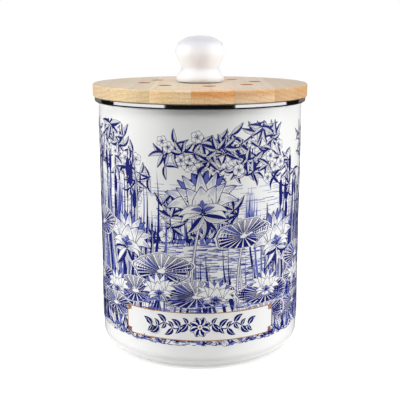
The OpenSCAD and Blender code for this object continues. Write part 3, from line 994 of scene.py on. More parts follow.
def lotus(centre, size, tilt):
    """A lotus seen from the side: rows of petals from the back to the front, and four low ones."""
    turn = np.exp(1j * tilt)
    rich = size > RICH_SIZE
    for length, angles, width, drop in PETAL_ROWS:
        for a in sorted({s * angle for angle in angles for s in (-1, 1)}, key=lambda v: (-abs(v), v)):
            lean = math.sin(math.radians(a))
            base = centre + turn * size * (drop * 1j + 0.05 * lean)
            tip = base + turn * 1j * np.exp(-1j * math.radians(a)) * size * length * dice.uniform(0.96, 1.04)
            ink = BLUE if length == PETAL_ROWS[0][0] else WHITE
            petal(base, tip, width * size, 0.1 * lean * (1 if abs(a) < 70 else 2.2), rich, ink)
    for a in (-115, 115, -98, 98):
        tip = centre + turn * 1j * np.exp(-1j * math.radians(a)) * size * 0.62
        petal(centre, tip, 0.2 * size, 0.16 * np.sign(a), False)


print("a lotus has", len(PETAL_ROWS), "rows of petals")

# %% [markdown]
# ## The lotus leaf
#
# A lotus leaf floats or stands and is seen aslant: dark sectors between pale veins, all from one
# heart near its middle. Sectors on the side of the light are hatched, the others are filled.

# %% The lotus leaf
PAD_PLATES = ((1.07, WHITE), (1.02, NAVY), (0.985, WHITE))  # how large each is, under the sectors


def lily_pad(heart, wide, high, tilt, sectors=22):
    """A lotus leaf aslant. Its edge is an ellipse times 1 + 0.05 sin(5 a + p) + 0.03 sin(9 a)."""
    phase = dice.uniform(0, 2 * np.pi)

    def rim_at(a, grow=1.0):
        """The point of the edge at the angle a, moved out from the heart by grow."""
        wave = 1 + 0.05 * np.sin(5 * a + phase) + 0.03 * np.sin(9 * a)
        return heart + grow * np.exp(1j * tilt) * wave * (wide * np.cos(a) + 1j * high * np.sin(a))

    half_turn = np.linspace(np.pi, 0, 2 + math.ceil(2 * wide / CHORD))
    for grow, ink in PAD_PLATES:
        fill(rim_at(half_turn, grow), rim_at(-half_turn, grow), ink)
    middle = heart - 0.18j * high
    step = 2 * np.pi / sectors
    t = np.linspace(0.14, 0.97, 2 + math.ceil(wide / CHORD / 1.6))
    for a in phase + step * np.arange(sectors):
        one, other = (middle + (rim_at(a + share * step) - middle) * t for share in (0.12, 0.88))
        lit = np.cos(a - 0.7)
        if lit > 0.35:
            for share in (0.1, 0.36, 0.62, 0.88):
                stroke((one * (1 - share) + other * share)[dice.integers(0, 3):], 0.3, 0.6)
        elif lit > -0.15:
            fill(other, one, BLUE)
            stroke(one, 0.3, 0.5)
            stroke((one * 0.5 + other * 0.5)[1:], 0.25, 0.5)
        else:
            fill(other, one, NAVY)


print("a lotus leaf lies on", len(PAD_PLATES), "plates")

# %% [markdown]
# ## Leaf, blossom and swallow
#
# A leaf has one solid half and one hatched half, as engravers draw it. A plum blossom is five
# round petals with a star of stamens. A swallow is four solid blades.

# %% Leaf, blossom and swallow
PETALS, STAMENS = 5, 7


def leaf(base, tip, width, sag, shade):
    """A pointed leaf: one half solid, the other half hatched outwards from the midrib."""
    axis = bend(base, tip, sag, 5)
    reach = blade(axis, width, WHITE, FINE, 0.75)
    edges = (axis + shade * reach, axis + shade * 0.08 * reach)
    fill(*(edges if shade > 0 else edges[::-1]), NAVY)
    t = np.linspace(0, 1, len(axis))
    starts = np.linspace(0.08, 0.8, max(3, int(abs(tip - base) / 1.7)))
    ends = read_off(axis - shade * 0.86 * reach, starts + 0.14, t)
    for rib, end in zip(read_off(axis, starts, t), ends):
        stroke(np.array([rib, end]), 0.36, 0.22)


def blossom(centre, radius, turn):
    """A plum blossom: five broad petals, each with one vein, and a star of stamens."""
    for k in range(PETALS):
        way = np.exp(1j * (turn + k * 2 * np.pi / PETALS))
        axis = bend(centre + 0.1 * radius * way, centre + radius * way, 0, 6)
        reach = blade(axis, 0.95 * radius, WHITE, 0.34, 1.25, 0.55)
        veins(axis, reach, (-0.4, 0.4), 0.15, 0.5, 0.24, BLUE)
    for k in range(STAMENS):
        way = np.exp(1j * (turn + 0.3 + k * 2 * np.pi / STAMENS))
        stroke(np.array([centre, centre + 0.42 * radius * way]), 0.25, 0.55)


def swallow(centre, size, heading):
    """A swallow from above: a body, two swept wings and a forked tail, all solid blades."""
    way = np.exp(1j * heading)
    blade(bend(centre - 0.5 * size * way, centre + 0.42 * size * way, 0.04, 6), 0.2 * size, NAVY, 0, 0.8, 0.8)
    for s in (1, -1):
        wing = bend(centre + 0.12 * size * way, centre + size * way * (-0.25 + 0.72j * s), -0.22 * s, 7)
        blade(wing, 0.22 * size, NAVY, 0, 0.5, 0.9)
        tail = bend(centre - 0.4 * size * way, centre + size * way * (-0.95 + 0.2j * s), 0.1 * s, 5)
        blade(tail, 0.09 * size, NAVY, 0, 0.6, 0.8)


print("a plum blossom has", PETALS, "petals and", STAMENS, "stamens")

# %% [markdown]
# ## Stems, water, grass and branches
#
# What holds the flowers up is drawn in the same two ways, as blades and as strokes. Grass, reeds
# and bulrushes differ only in their size and in the odds of a navy, a blue or a pale blade, so one
# function draws a blade for all of them. A branch is a bent path with knots. It grows twigs that
# are branches too, and it gives back the places where blossoms may sit.

# %% Stems and water


def stem(base, tip, sag, width):
    """A pale stem with two dark sides and a line of shade."""
    path = bend(base, tip, sag, 4)
    out = width / 2 * side(path)
    fill(path + out, path - out, WHITE)
    for share in (0.85, -0.85, 0.3):
        stroke(path + share * out, 0.4 if abs(share) > 0.5 else 0.26)


def ripples(low, high, count, length, pale, wide):
    """Short level strokes scattered over the water between two heights; a share of them is pale."""
    for s, z in zip(dice.uniform(-ROUND_WALL / 2, ROUND_WALL / 2, count), dice.uniform(low, high, count)):
        run = length * dice.uniform(0.5, 1.3)
        ink = BLUE if dice.random() < pale else NAVY
        stroke(bend(s + 1j * z, s + run + 1j * z, dice.uniform(-0.03, 0.03)), wide / 2, wide, ink)


print("ripples lie along all", round(ROUND_WALL), "mm of the wall")

# %% Grass, bulrushes and the far bank
BULRUSH_BLADES = 7


def grass_blade(axis, odds, solid, pale, swell, full, ribs):
    """One blade of grass, navy or blue by the odds, else pale with ribs; solid and pale are widths."""
    pick = dice.random()
    if pick < odds[1]:
        blade(axis, dice.uniform(*solid), NAVY if pick < odds[0] else BLUE, 0, swell, full)
    else:
        veins(axis, blade(axis, dice.uniform(*pale), WHITE, FINE, swell, full), *ribs)


def tuft(base, height, count, spread=0.9):
    """A fan of grass blades, some solid, some pale with a rib."""
    for a in dice.permutation(np.linspace(-spread, spread, count)):
        tall = height * dice.uniform(0.65, 1.0) * (1 - 0.3 * abs(a))
        tip = base + tall * (math.sin(a) + 1j * math.cos(a))
        axis = bend(base + dice.uniform(-2, 2), tip, -0.16 * math.sin(a) - 0.02, 4)
        grass_blade(axis, (0.45, 0.7), (1.6, 2.6), (2.0, 3.0), 0.45, 0.9, ((0,), 0.0, 0.9))


def bulrush(base, tall, lean):
    """A bulrush: long arching blades round a thin stalk with a dark velvety head."""
    for _ in range(BULRUSH_BLADES):
        reach = tall * dice.uniform(0.5, 1.0)
        away = dice.uniform(-0.3, 0.3)
        axis = bend(base + dice.uniform(-3, 3), base + reach * (1j + lean + away), -0.35 * away, 7)
        grass_blade(axis, (0.5, 0.75), (2.6, 3.8), (3.0, 4.0), 0.4, 0.8, ((-0.3, 0.3), 0.03, 0.95))
    stalk = bend(base, base + tall * (1j + lean), -0.2 * lean, 6)
    stroke(stalk, 1.0, 0.7)
    way = (stalk[-1] - stalk[-2]) / abs(stalk[-1] - stalk[-2])
    blade(bend(stalk[-1] - 19 * way, stalk[-1] - 4 * way, 0, 9), 4.4, NAVY, 0, 1.0, 0.4)


def far_bank(z=110.0):
    """Bushes on a far bank; their height follows 8 + 5 sin(7 a) + 3 sin(17 a + 1) round the wall."""
    for s in dice.permutation(np.arange(-ROUND_WALL / 2, ROUND_WALL / 2 - 1, 2.4)):
        a = s / wall_r
        tall = 8 + 5 * math.sin(7 * a) + 3 * math.sin(17 * a + 1)
        ground = s + 1j * (z + 1.5 * math.sin(5 * a))
        stroke(bend(ground - dice.uniform(3, 5), ground + dice.uniform(3, 5), 0.0), 0.5, 1.0)
        if tall > 2.4:
            tuft(ground, tall * dice.uniform(0.9, 1.4), 4, 0.8)


print("a bulrush has", BULRUSH_BLADES, "blades round its stalk")

# %% Branches


def branch(base, tip, sag, width, depth=2):
    """A branch that thins to a quarter of its width; returns the places for its blossoms.

    Its knots are a running sum of random steps, faded out at both ends by a raised cosine.
    """
    path = bend(base, tip, sag, 15)
    count = len(path)
    knots = np.cumsum(dice.normal(0, 0.26, count)) * np.hanning(count) * min(abs(tip - base) / 40, 1)
    path = path + knots * side(path)
    wide = width * (1 - 0.75 * np.linspace(0, 1, count))
    out = side(path)
    fill(path + wide / 2 * out, path - wide / 2 * out, NAVY)
    if width > 2:
        lit = slice(2, count - 4)
        fill((path + wide * 0.32 * out)[lit], (path + wide * 0.06 * out)[lit], WHITE)
    spots = []
    if depth:
        for k in range(3, count - 2, 3):
            up = 1 if (k // 3) % 2 else -1
            way = (path[k + 1] - path[k - 1]) / abs(path[k + 1] - path[k - 1])
            way = way * np.exp(1j * up * dice.uniform(0.5, 0.95)) * abs(tip - base)
            twig = path[k] + way * dice.uniform(0.22, 0.36)
            twig = twig.real + 1j * min(twig.imag, 2 * BAND_TOP - twig.imag)
            spots += branch(path[k], twig, 0.1 * up, wide[k] * 0.6, depth - 1)
    return spots + [path[k] + dice.uniform(-1, 1) for k in range(2, count, 4)] + [path[-1]]


print("twigs end below", BAND_TOP, "mm")

# %% Blossoms and leaves on a branch


def apart(spots, gap):
    """The spots in random order, without those nearer than the gap to one already chosen."""
    chosen = []
    for spot in dice.permutation(np.array(spots)):
        if not chosen or abs(np.array(chosen) - spot).min() > gap:
            chosen.append(spot)
    return chosen


def plum(base, tip, sag, width, size=5.6):
    """A branch with blossoms and leaves at most of its places."""
    for spot in apart(branch(base, tip, sag, width), size * 0.95):
        pick = dice.random()
        if pick < 0.4:
            away = dice.uniform(-1.2, 1.2) + 1j * dice.uniform(-1.2, 1.2)
            blossom(spot + away, size * dice.uniform(0.8, 1.1), dice.uniform(0, 6))
        else:
            first = dice.uniform(0, 2 * np.pi)
            fan(spot, int(dice.integers(3, 6)), size * 2.3, first, first + 2.8, 0.3)


def fan(base, count, size, first, last, broad=0.34):
    """Leaves spread from one point between two directions, below the band's upper edge."""
    for a in dice.permutation(np.linspace(first, last, count)):
        long = size * dice.uniform(0.8, 1.1)
        tip = base + long * np.exp(1j * a)
        tip = tip.real + 1j * min(tip.imag, BAND_TOP + 3)
        leaf(base, tip, long * broad, dice.uniform(-0.14, 0.14), dice.choice((1, -1)))


print("plants are ready to be drawn")

# %% [markdown]
# ## Composing the pond
#
# The band is laid out from back to front: pale reeds in the mist, far water and its bank, plum
# branches and swallows above it, stands of bulrushes, reeds, tall lotuses with their leaves, a
# row of floating leaves with small flowers, and grass at the lower edge. Everything is spaced in
# whole parts of a turn, so the band closes on itself. Each of the functions below lays out one
# layer, and they are called further down, when the plaque can be drawn as well.

# %% Lay out reeds and bulrushes
UNIT = ROUND_WALL / 8
SHORE = 28j  # the height at which reeds and bulrushes stand


def alternate(count):
    """0, 2, 4 ... and then 1, 3, 5 ...: neighbours are never painted one straight after the other."""
    return [*range(0, count, 2), *range(1, count, 2)]


def far_reeds(count=420):
    """Pale reeds beyond the far bank, in clumps, with mist between them."""
    ripples(112, 152, 800, 11, 0.8, 0.4)
    for s in dice.permutation(np.linspace(-ROUND_WALL / 2, ROUND_WALL / 2, count, endpoint=False)):
        base = s + dice.uniform(-4, 4) + 104j
        tall = dice.uniform(16, 34 + 18 * math.sin(5 * s / wall_r))
        lean = dice.uniform(-0.2, 0.2)
        axis = bend(base, base + tall * (1j + lean), -lean * 0.5, 6)
        blade(axis, dice.uniform(1.2, 2.2), NAVY if dice.random() < 0.3 else BLUE, 0, 0.4, 0.8)


def stands(each=12):
    """Four stands of bulrushes, two beside the front and two beside the back."""
    for stand in (-3.0, 1.45, 3.0, -1.35):
        for k in alternate(each):
            base = (stand + 1.1 * (k + 0.5) / each - 0.55) * UNIT + dice.uniform(-2, 2) + SHORE
            bulrush(base, dice.uniform(105, 155), dice.uniform(-0.07, 0.07))


def reeds(count=22, each=9):
    """Clumps of tall thin reeds that lean a little either way."""
    for clump in alternate(count):
        centre = (clump - count / 2) * ROUND_WALL / count + dice.uniform(-5, 5)
        for _ in range(each):
            tall = dice.uniform(35, 80 + 30 * math.sin(centre / wall_r) ** 2)
            lean = dice.uniform(-0.28, 0.28)
            base = centre + dice.uniform(-10, 10) + SHORE
            axis = bend(base, base + tall * (1j + lean), -lean * 0.3, 5)
            grass_blade(axis, (0.55, 0.8), (2.0, 3.0), (2.2, 3.4), 0.35, 0.8, ((0,), 0.05, 0.95))


print("the order of eight plants is", alternate(8))

# %% Lay out the sky


def sky():
    """Plum branches from below and above, and swallows between them."""
    for k in range(4):
        s = (k - 1.5) * 2 * UNIT + 0.3 * UNIT
        plum(s + 0.1 * UNIT + 104j, s + 1.05 * UNIT + 190j, -0.12, 4.2)
        plum(s + 1.5 * UNIT + 198j, s + 0.3 * UNIT + 166j, 0.1, 2.6, 5)
        plum(s + 1.4 * UNIT + 198j, s + 2.1 * UNIT + 156j, -0.14, 2.4, 4.8)
        fan(s + 1.45 * UNIT + 194j, 6, 14, np.pi * 0.95, np.pi * 2.05, 0.3)
    for k in range(8):
        s = (k - 4) * UNIT + dice.uniform(-8, 8)
        swallow(s + 1j * dice.uniform(148, 162), dice.uniform(12, 17), dice.uniform(-0.6, 3.6))


print("one of the 8 parts of the wall is", round(UNIT, 1), "mm long")

# %% Lay out the pond in front
TUFTS = 120  # of grass, round the wall


def leaf_row(count, shift, heights, widths, depths, tilt, sectors):
    """Floating leaves at even steps round the wall, each with its own height, size and tilt."""
    for k in alternate(count):
        s = (k - count / 2) * ROUND_WALL / count + shift + dice.uniform(-4, 4)
        heart = s + 1j * dice.uniform(*heights)
        lily_pad(heart, dice.uniform(*widths), dice.uniform(*depths), dice.uniform(-tilt, tilt), sectors)


def pond():
    """Tall lotuses and leaves, floating leaves, small flowers and the grass in front."""
    for k in alternate(8):
        s = (k - 4) * UNIT
        top = s + (132j if k % 2 == 0 else 100j) + dice.uniform(-3, 3)
        stem(s + dice.uniform(-6, 6) + 30j, top, 0.05 * (1 if k % 3 else -1), 2.2)
        fan(top - 4j, 5, 20, np.pi * 1.05, np.pi * 1.95)
        lotus(top, 31 if k % 2 == 0 else 27, dice.uniform(-0.18, 0.18))
    for k in alternate(8):
        s = (k - 3.5) * UNIT + dice.uniform(-4, 4)
        top = s + (112j if k % 2 == 0 else 84j)
        stem(s + 26j, top - 2j, 0.06 * (-1) ** k, 2.0)
        lily_pad(top, dice.uniform(21, 25), dice.uniform(9, 12), dice.uniform(-0.25, 0.25))
    leaf_row(10, 0, (60, 70), (24, 29), (9, 11), 0.1, 26)
    for k in alternate(12):
        s = (k - 6) * ROUND_WALL / 12 + 12
        lotus(s + 1j * dice.uniform(58, 66), 17, dice.uniform(-0.2, 0.2))
    ripples(30, 60, 1500, 10, 0.6, 0.6)
    leaf_row(12, 8, (38, 48), (21, 26), (7, 9), 0.08, 24)
    ripples(21.5, 36, 2300, 4, 0.25, 0.66)
    for k in alternate(TUFTS):
        s = (k - TUFTS / 2) * ROUND_WALL / TUFTS + dice.uniform(-2, 2)
        tuft(s + 1j * dice.uniform(21, 28), dice.uniform(12, 22), 9)


print("grass stands every", round(ROUND_WALL / TUFTS, 1), "mm")

# %% [markdown]
# ## The plaque
#
# A white plaque with a thin gold frame lies over the lower front of the band. Its corners are
# notched, with a small gold ornament in each. A leafy scroll with a rosette fills its middle.

# %% The plate and its gold frame
PLAQUE_LONG, PLAQUE_HIGH, PLAQUE_Z = 63.9, 11.5, 37.7  # half its length, half its height, its middle
NOTCH = 4.2
GOLD_LINE = 0.75
middle = 1j * PLAQUE_Z


def plaque():
    """A plate between two level edges whose ends step in by the notch, framed by gold lines."""
    long, rise, lower = PLAQUE_LONG, 1j * PLAQUE_HIGH, 1j * (PLAQUE_HIGH - NOTCH)
    body = middle + np.linspace(-long + NOTCH, long - NOTCH, 2 + math.ceil(2 * long / CHORD))
    fill(body + rise, body - rise, WHITE)
    for s in (-1, 1):
        end = middle + np.sort(s * np.linspace(long - NOTCH - 0.2, long, 4))
        fill(end + lower, end - lower, WHITE)
    for s in (1, -1):
        stroke(body + s * rise, GOLD_LINE, GOLD_LINE, GOLD)
        stroke(middle + s * long + np.array([-1, 1]) * lower, GOLD_LINE, GOLD_LINE, GOLD)
    t = np.linspace(0, np.pi / 2, 7)
    for across in (1, -1):
        for up in (1, -1):
            corner = middle + across * long + up * rise
            for radius, width in ((NOTCH, GOLD_LINE), (NOTCH * 0.62, 0.6), (NOTCH * 0.28, 1.5)):
                arc = corner - across * radius * np.cos(t) - 1j * up * radius * np.sin(t)
                stroke(arc, width, width, GOLD)


print("the plaque is", 2 * PLAQUE_LONG, "by", 2 * PLAQUE_HIGH, "mm")

# %% The scroll on the plaque


def scroll_half():
    """The right half of the scroll: a stem in a sine wave, with bold leaves and a curled end."""
    s = np.linspace(6, 42, 19)
    wave = middle + s + 2.2j * np.sin((s - 6) / 9 * np.pi)
    stroke(wave, 1.1, 0.8)
    for k, base in enumerate(wave[2:-1:3]):
        up = 1 if k % 2 else -1
        for long, way, wide in ((9.5, 0.75 * up, 4.6), (6.5, -0.95 * up, 3.4)):
            axis = bend(base, base + long * np.exp(1j * way), 0.14 * np.sign(way), 6)
            veins(axis, blade(axis, wide, NAVY, 0, 0.75), (0,), 0.0, 0.8, 0.5, WHITE)
    turn = np.linspace(0, 1.6 * np.pi, 12)
    curl = wave[-1] + 2.6j + 2.6 * (1 - turn / 9) * np.exp(1j * (turn - np.pi / 2))
    stroke(curl, 0.9, 0.6)


def scroll():
    """Both halves of the scroll, the left one mirrored, and the rosette over their joint.

    A mirrored strip has its edges swapped, so that it stays the right way up.
    """
    first = len(marks)
    scroll_half()
    for left, right, ink in marks[first:]:
        fill(-np.conj(right), -np.conj(left), ink)
    for k in range(8):
        way = np.exp(2j * np.pi * (k + 0.5) / 8)
        axis = bend(middle + 1.2 * way, middle + 8.2 * way, 0, 6)
        reach = blade(axis, 5.4, WHITE, 0.5, 1.1, 0.6)
        fill(axis + 0.5 * reach, axis - 0.5 * reach, NAVY)
    blade(bend(middle - 2.1, middle + 2.1, 0, 7), 4.2, WHITE, 0.6, 1.0, 0.5)
    blade(bend(middle - 1.0, middle + 1.0, 0, 5), 2.0, GOLD, 0, 1.0, 0.5)


print("the rosette sits at the height", PLAQUE_Z, "mm")

# %% Draw everything, back to front
# The farthest layer draws its random numbers last and is laid underneath the others.
ripples(60, 108, 3600, 8, 0.6, 0.64)
for draw in (far_bank, sky, stands, reeds, pond, plaque, scroll):
    draw()
nearer = marks.copy()
marks.clear()
far_reeds()
marks.extend(nearer)
print("marks drawn:", len(marks))

# %% [markdown]
# ## From the drawing to skins of ink
#
# Where two marks overlap, the later one must lie higher, or the renderer could show either. A
# map of the unrolled wall, in cells of 0.3 millimetres, keeps how many layers of each ink
# lie there. Each row of a strip goes one layer above the highest other ink near it, so a long
# strip climbs only where it crosses something. Ends of marks that later ones hide are trimmed,
# and white over bare enamel isn't needed at all.

# %% Stack the marks in layers
CELL = 0.3
SPREAD = 1.2  # spots per cell, so that no cell under a strip is missed
MAP_TOP = 205.0
LEAST_SEEN = 4  # a mark that shows in fewer cells is left out
COLUMNS = math.ceil(ROUND_WALL / CELL)
ROWS = math.ceil(MAP_TOP / CELL) + 1


def cells_under(left, right):
    """Cell numbers under each step of a strip, as an array of steps, spots along and spots across."""
    steps = np.arange(len(left))
    each = math.ceil(max(abs(np.diff(left)).max(), abs(np.diff(right)).max()) / CELL * SPREAD)
    along = steps[:-1, None] + np.linspace(0, 1, each + 1)
    share = np.linspace(0, 1, math.ceil(abs(left - right).max() / CELL * SPREAD) + 1)
    first, last = (read_off(edge, along, steps)[..., None] for edge in (left, right))
    spots = first * (1 - share) + last * share
    column = np.floor((spots.real % ROUND_WALL) / CELL).astype(np.int32) % COLUMNS
    row = np.floor(spots.imag.clip(0, MAP_TOP) / CELL).astype(np.int32)
    return row * COLUMNS + column


def widest(values):
    """Each value's maximum with its two neighbours."""
    padded = np.pad(values, 1, mode="edge")
    return np.maximum(np.maximum(padded[:-2], padded[2:]), values)


covers = [cells_under(left, right) for left, right, _ in marks]
owner = np.full(ROWS * COLUMNS, -1, np.int32)
for number, cells in enumerate(covers):
    owner[cells.ravel()] = number

layers = np.zeros((4, ROWS * COLUMNS), np.float32)
layered = []
for number, (left, right, ink) in enumerate(marks):
    seen = (owner[covers[number]] == number).sum(axis=(1, 2))
    if seen.sum() < LEAST_SEEN:
        continue
    first, last = np.flatnonzero(seen)[[0, -1]]
    cells = covers[number][first:last + 1]
    below = np.max([layers[k][cells].max(axis=(1, 2)) for k in range(4) if k != ink], axis=0)
    if ink == WHITE and below.max() == 0:
        continue
    level = 1 + np.maximum(np.append(below, 0), np.insert(below, 0, 0))
    top = widest(np.maximum(level[:-1], level[1:]))[:, None, None]
    layers[ink][cells] = np.maximum(layers[ink][cells], top)
    rows = slice(first, last + 2)
    layered.append((left[rows], right[rows], ink, level))
print("marks kept:", len(layered), "highest layer:", int(max(mark[3].max() for mark in layered)))

# %% [markdown]
# ## Wrapping the ink round the wall
#
# A point s millimetres round the wall lies at the angle s / R from the front. Each strip becomes
# a thin closed prism: its top follows the wall a hair above it, in enough columns to stay round,
# and both its sides run down to one line just inside the enamel. Strips with the same count of
# rows and columns are stacked into one array and built together. Their normals are set to point
# straight out from the axis, so the ink shines exactly as the wall does.

# %% Shape the ink
INK_BASE = 0.025  # how far the lowest layer's top lies above the wall
INK_LAYER = 0.006  # and how much higher each next one
INK_STEP, INK_STEPS = 0.0004, 9  # neighbours in one layer differ a little, so that none are level
INK_ROOT = 0.3  # how deep the strips reach into the wall
MOST_COLUMNS = 14


def prisms(left, right, lift):
    """Points and faces of many strips at once; left, right and lift are (strips, rows) arrays.

    A point s round the wall is x = r sin(s / R), y = -r cos(s / R), with r = R + lift, and
    r = R - root on the line inside the wall.
    """
    strips, rows = left.shape
    columns = int(np.clip(np.ceil(abs((left - right).real).max() / CHORD), 1, MOST_COLUMNS))
    share = np.linspace(0, 1, columns + 1)
    top = left[..., None] * (1 - share) + right[..., None] * share
    flat = np.concatenate([top, (left + right)[..., None] / 2], -1)
    radius = wall_r + np.repeat(lift[..., None], columns + 2, axis=-1)
    radius[..., -1] = wall_r - INK_ROOT
    angle = flat.real / wall_r
    points = np.stack([radius * np.sin(angle), -radius * np.cos(angle), flat.imag], -1).reshape(-1, 3)
    number = np.arange(rows * (columns + 2)).reshape(rows, columns + 2)
    low, high, root = number[:-1, :-1], number[1:, :-1], number[:, -1]
    faces = [
        np.stack([low[:, 1:], high[:, 1:], high[:, :-1], low[:, :-1]], -1).reshape(-1, 4),
        np.stack([low[:, 0], high[:, 0], root[1:], root[:-1]], -1),
        np.stack([high[:, -1], low[:, -1], root[:-1], root[1:]], -1),
    ]
    ends = [
        np.stack([number[0, 1:-1], number[0, :-2], np.full(columns, root[0])], -1),
        np.stack([number[-1, :-2], number[-1, 1:-1], np.full(columns, root[-1])], -1),
    ]
    shift = (np.arange(strips) * number.size)[:, None, None]
    quads = (np.concatenate(faces)[None] + shift).reshape(-1, 4)
    triangles = (np.concatenate(ends)[None] + shift).reshape(-1, 3)
    return points, quads, triangles


print("layers of ink lie", INK_LAYER, "mm apart")

# %% Sort the strips into groups


def upright(left, right):
    """The two edges in the order that makes the top face outwards, by the sign of the strip's area."""
    ring = np.concatenate([right, left[::-1]])
    area = (ring.real * np.roll(ring.imag, -1) - ring.imag * np.roll(ring.real, -1)).sum()
    return (left, right) if area > 0 else (right, left)


def columns_of(left, right):
    """How many columns a strip needs to stay round."""
    return math.ceil(abs((left - right).real).max() / CHORD)


def batches(chosen):
    """Groups marks by their rows and columns, and yields the points and faces of each group."""
    groups = {}
    for number, (left, right, _, level) in enumerate(chosen):
        left, right = upright(left, right)
        lift = INK_BASE + INK_LAYER * level + INK_STEP * (number % INK_STEPS)
        groups.setdefault((len(left), columns_of(left, right)), []).append((left, right, lift))
    for group in groups.values():
        yield prisms(*(np.array(column) for column in zip(*group)))


print("strips wider than", CHORD, "mm get more than one column")

# %% Lay the ink on the wall
PIECE_FACES = 90_000


def ink_finish(name, code, **sockets):
    """A fired ceramic colour: one flat tone under a thin glaze, with the enamel's own waves."""
    made, tree, shader = finish_of(name, code, Roughness=0.2, IOR=1.5, **sockets)
    place = add(tree, "TexCoord").outputs["Object"]
    waves = add(tree, "TexNoise", {"Vector": place, "Scale": per(GLAZE_WAVE), "Detail": 1.0})
    feed(shader, {"Normal": add(tree, "Bump", {"Height": waves, "Distance": GLAZE_DEPTH * MM})})
    return made


def lay_ink(name, chosen, material):
    """One printed piece: its prisms, with normals that point away from the pot's axis."""
    piece = build(name, *joined(list(batches(chosen))), material)
    mesh = piece.data
    mesh.shade_smooth()
    places = np.empty(len(mesh.vertices) * 3, np.float32)
    mesh.vertices.foreach_get("co", places)
    outward = places.reshape(-1, 3) * (1, 1, 0)
    outward /= np.linalg.norm(outward, axis=1)[:, None]
    mesh.normals_split_custom_set_from_vertices(outward.tolist())
    mesh.uv_layers.new(name="OFBake")
    corner = np.empty(len(mesh.loops), np.int32)
    mesh.loops.foreach_get("vertex_index", corner)
    x, y, z = places.reshape(-1, 3)[corner].T
    flat = np.stack([np.arctan2(x, -y) / (2 * np.pi) + 0.5, z / (MAP_TOP * MM)], 1)
    mesh.uv_layers["OFBake"].uv.foreach_set("vector", flat.astype(np.float32).ravel())
    return dress(piece, "pot", "enamel")


for ink, name, finish in (
    (WHITE, "print_white", enamel),
    (NAVY, "print_navy", ink_finish("Cobalt print, dark", "#1D2169")),
    (BLUE, "print_blue", ink_finish("Cobalt print, light", "#606AB0")),
    (GOLD, "print_gold", ink_finish("Lustre print, gold", "#C98F45", Metallic=0.35)),
):
    chosen = [mark for mark in layered if mark[2] == ink]
    load = np.cumsum([2 * len(mark[0]) * (2 + max(1, columns_of(*mark[:2]))) for mark in chosen])
    parts = math.ceil(load[-1] / PIECE_FACES)
    for part in range(parts):
        share = [mark for mark, at in zip(chosen, load) if part <= at * parts / (load[-1] + 1) < part + 1]
        lay_ink(f"{name}_{part + 1}", share, finish)

# %% [markdown]
# ## The studio: the floor
#
# The bin stands on a pale floor in a white room. A floor that is lit to pure white would throw
# too much light back onto the bin. So the floor is pale, lit at a plain level, and it glows only
# for the rays that see it: those of the camera, of reflections and through glass. The glow is
# weaker near the bin, so the floor meets the white room without a line and still holds the soft
# shadow.

# %% The floor
FLOOR_HALF = 3.0
GLOW_NEAR, GLOW_FAR = 0.55, 1.0  # how strongly the floor glows near the bin and further out
SHADOW_NEAR, SHADOW_REACH = 0.15, 0.45  # the distances, in metres, between which that changes
PURE_WHITE = linear("#FFFFFF")


def staged(name, points, quads, material):
    """A piece of the studio from points in metres."""
    panel = build(name, points / MM, quads, NO_TRIANGLES, material)
    return panel


def flat_panel(name, corners, material):
    """A stage panel with four corners, given in metres."""
    return staged(name, np.array(corners, float), np.array([[0, 1, 2, 3]]), material)


def seen_directly(tree):
    """1 for camera, glossy and transmission rays, else 0."""
    path = add(tree, "LightPath").outputs
    most = path["Is Camera Ray"]
    for kind in ("Is Glossy Ray", "Is Transmission Ray"):
        most = add(tree, "Math", {0: most, 1: path[kind]}, operation="MAXIMUM")
    return most


def pale_floor():
    """Matt pale floor; a glow for the rays that see it, fainter by the bin, makes it room white."""
    made, tree, shader = finish_of("Studio floor, matt pale", "#C8C8C8", Roughness=0.9)
    away = add(tree, "VectorMath", {0: add(tree, "TexCoord").outputs["Object"]}, operation="LENGTH")
    glow = add(tree, "MapRange", {0: away, 1: SHADOW_NEAR, 2: SHADOW_REACH, 3: GLOW_NEAR, 4: GLOW_FAR})
    glow = add(tree, "Math", {0: seen_directly(tree), 1: glow}, operation="MULTIPLY")
    feed(shader, {"Emission Color": PURE_WHITE, "Emission Strength": glow})
    return made


h = FLOOR_HALF
flat_panel("floor", [(-h, -h, 0), (h, -h, 0), (h, h, 0), (-h, h, 0)], pale_floor())
print("floor", 2 * FLOOR_HALF, "m wide")

# %% [markdown]
# ## The studio: standing cards
#
# Glaze and polished metal show what stands round them, so a product studio puts up black cards:
# one in front, and one at the back on either side with a grey one beside it. The rim mirrors them
# as black bands between white ones. They could be painted into the steel, but then the bands
# would turn with the bin. Only reflections see the cards, so they take no light away.

# %% Cards that stand
CARD_R = 1.1  # metres from the middle of the bin, as all sizes of the studio
FRONT_HALF, FRONT_HIGH, BACK_HIGH = 0.8, 1.6, 1.0
BACK_TURNS = (100, 128, 162)  # degrees from the front: black between the first two, then grey

black_card = finish_of("Studio card, black", "#050505", Roughness=1.0)[0]
grey_card = finish_of(
    "Studio card, grey", "#000000", Roughness=1.0, Emission_Color=PURE_WHITE, Emission_Strength=0.2,
)[0]


def standing(name, one, other, high, material):
    """A card that stands between two places on the floor."""
    corners = [(*one, 0), (*other, 0), (*other, high), (*one, high)]
    return flat_panel(name, corners, material)


cards = [standing("front_card", (-FRONT_HALF, -CARD_R), (FRONT_HALF, -CARD_R), FRONT_HIGH, black_card)]
for s, hand in ((-1, "left"), (1, "right")):
    turn = np.radians(BACK_TURNS)
    near, between, far = np.stack([s * CARD_R * np.sin(turn), -CARD_R * np.cos(turn)], 1)
    cards.append(standing(f"back_card_{hand}_black", near, between, BACK_HIGH, black_card))
    cards.append(standing(f"back_card_{hand}_grey", between, far, BACK_HIGH, grey_card))
print("cards that stand:", len(cards))

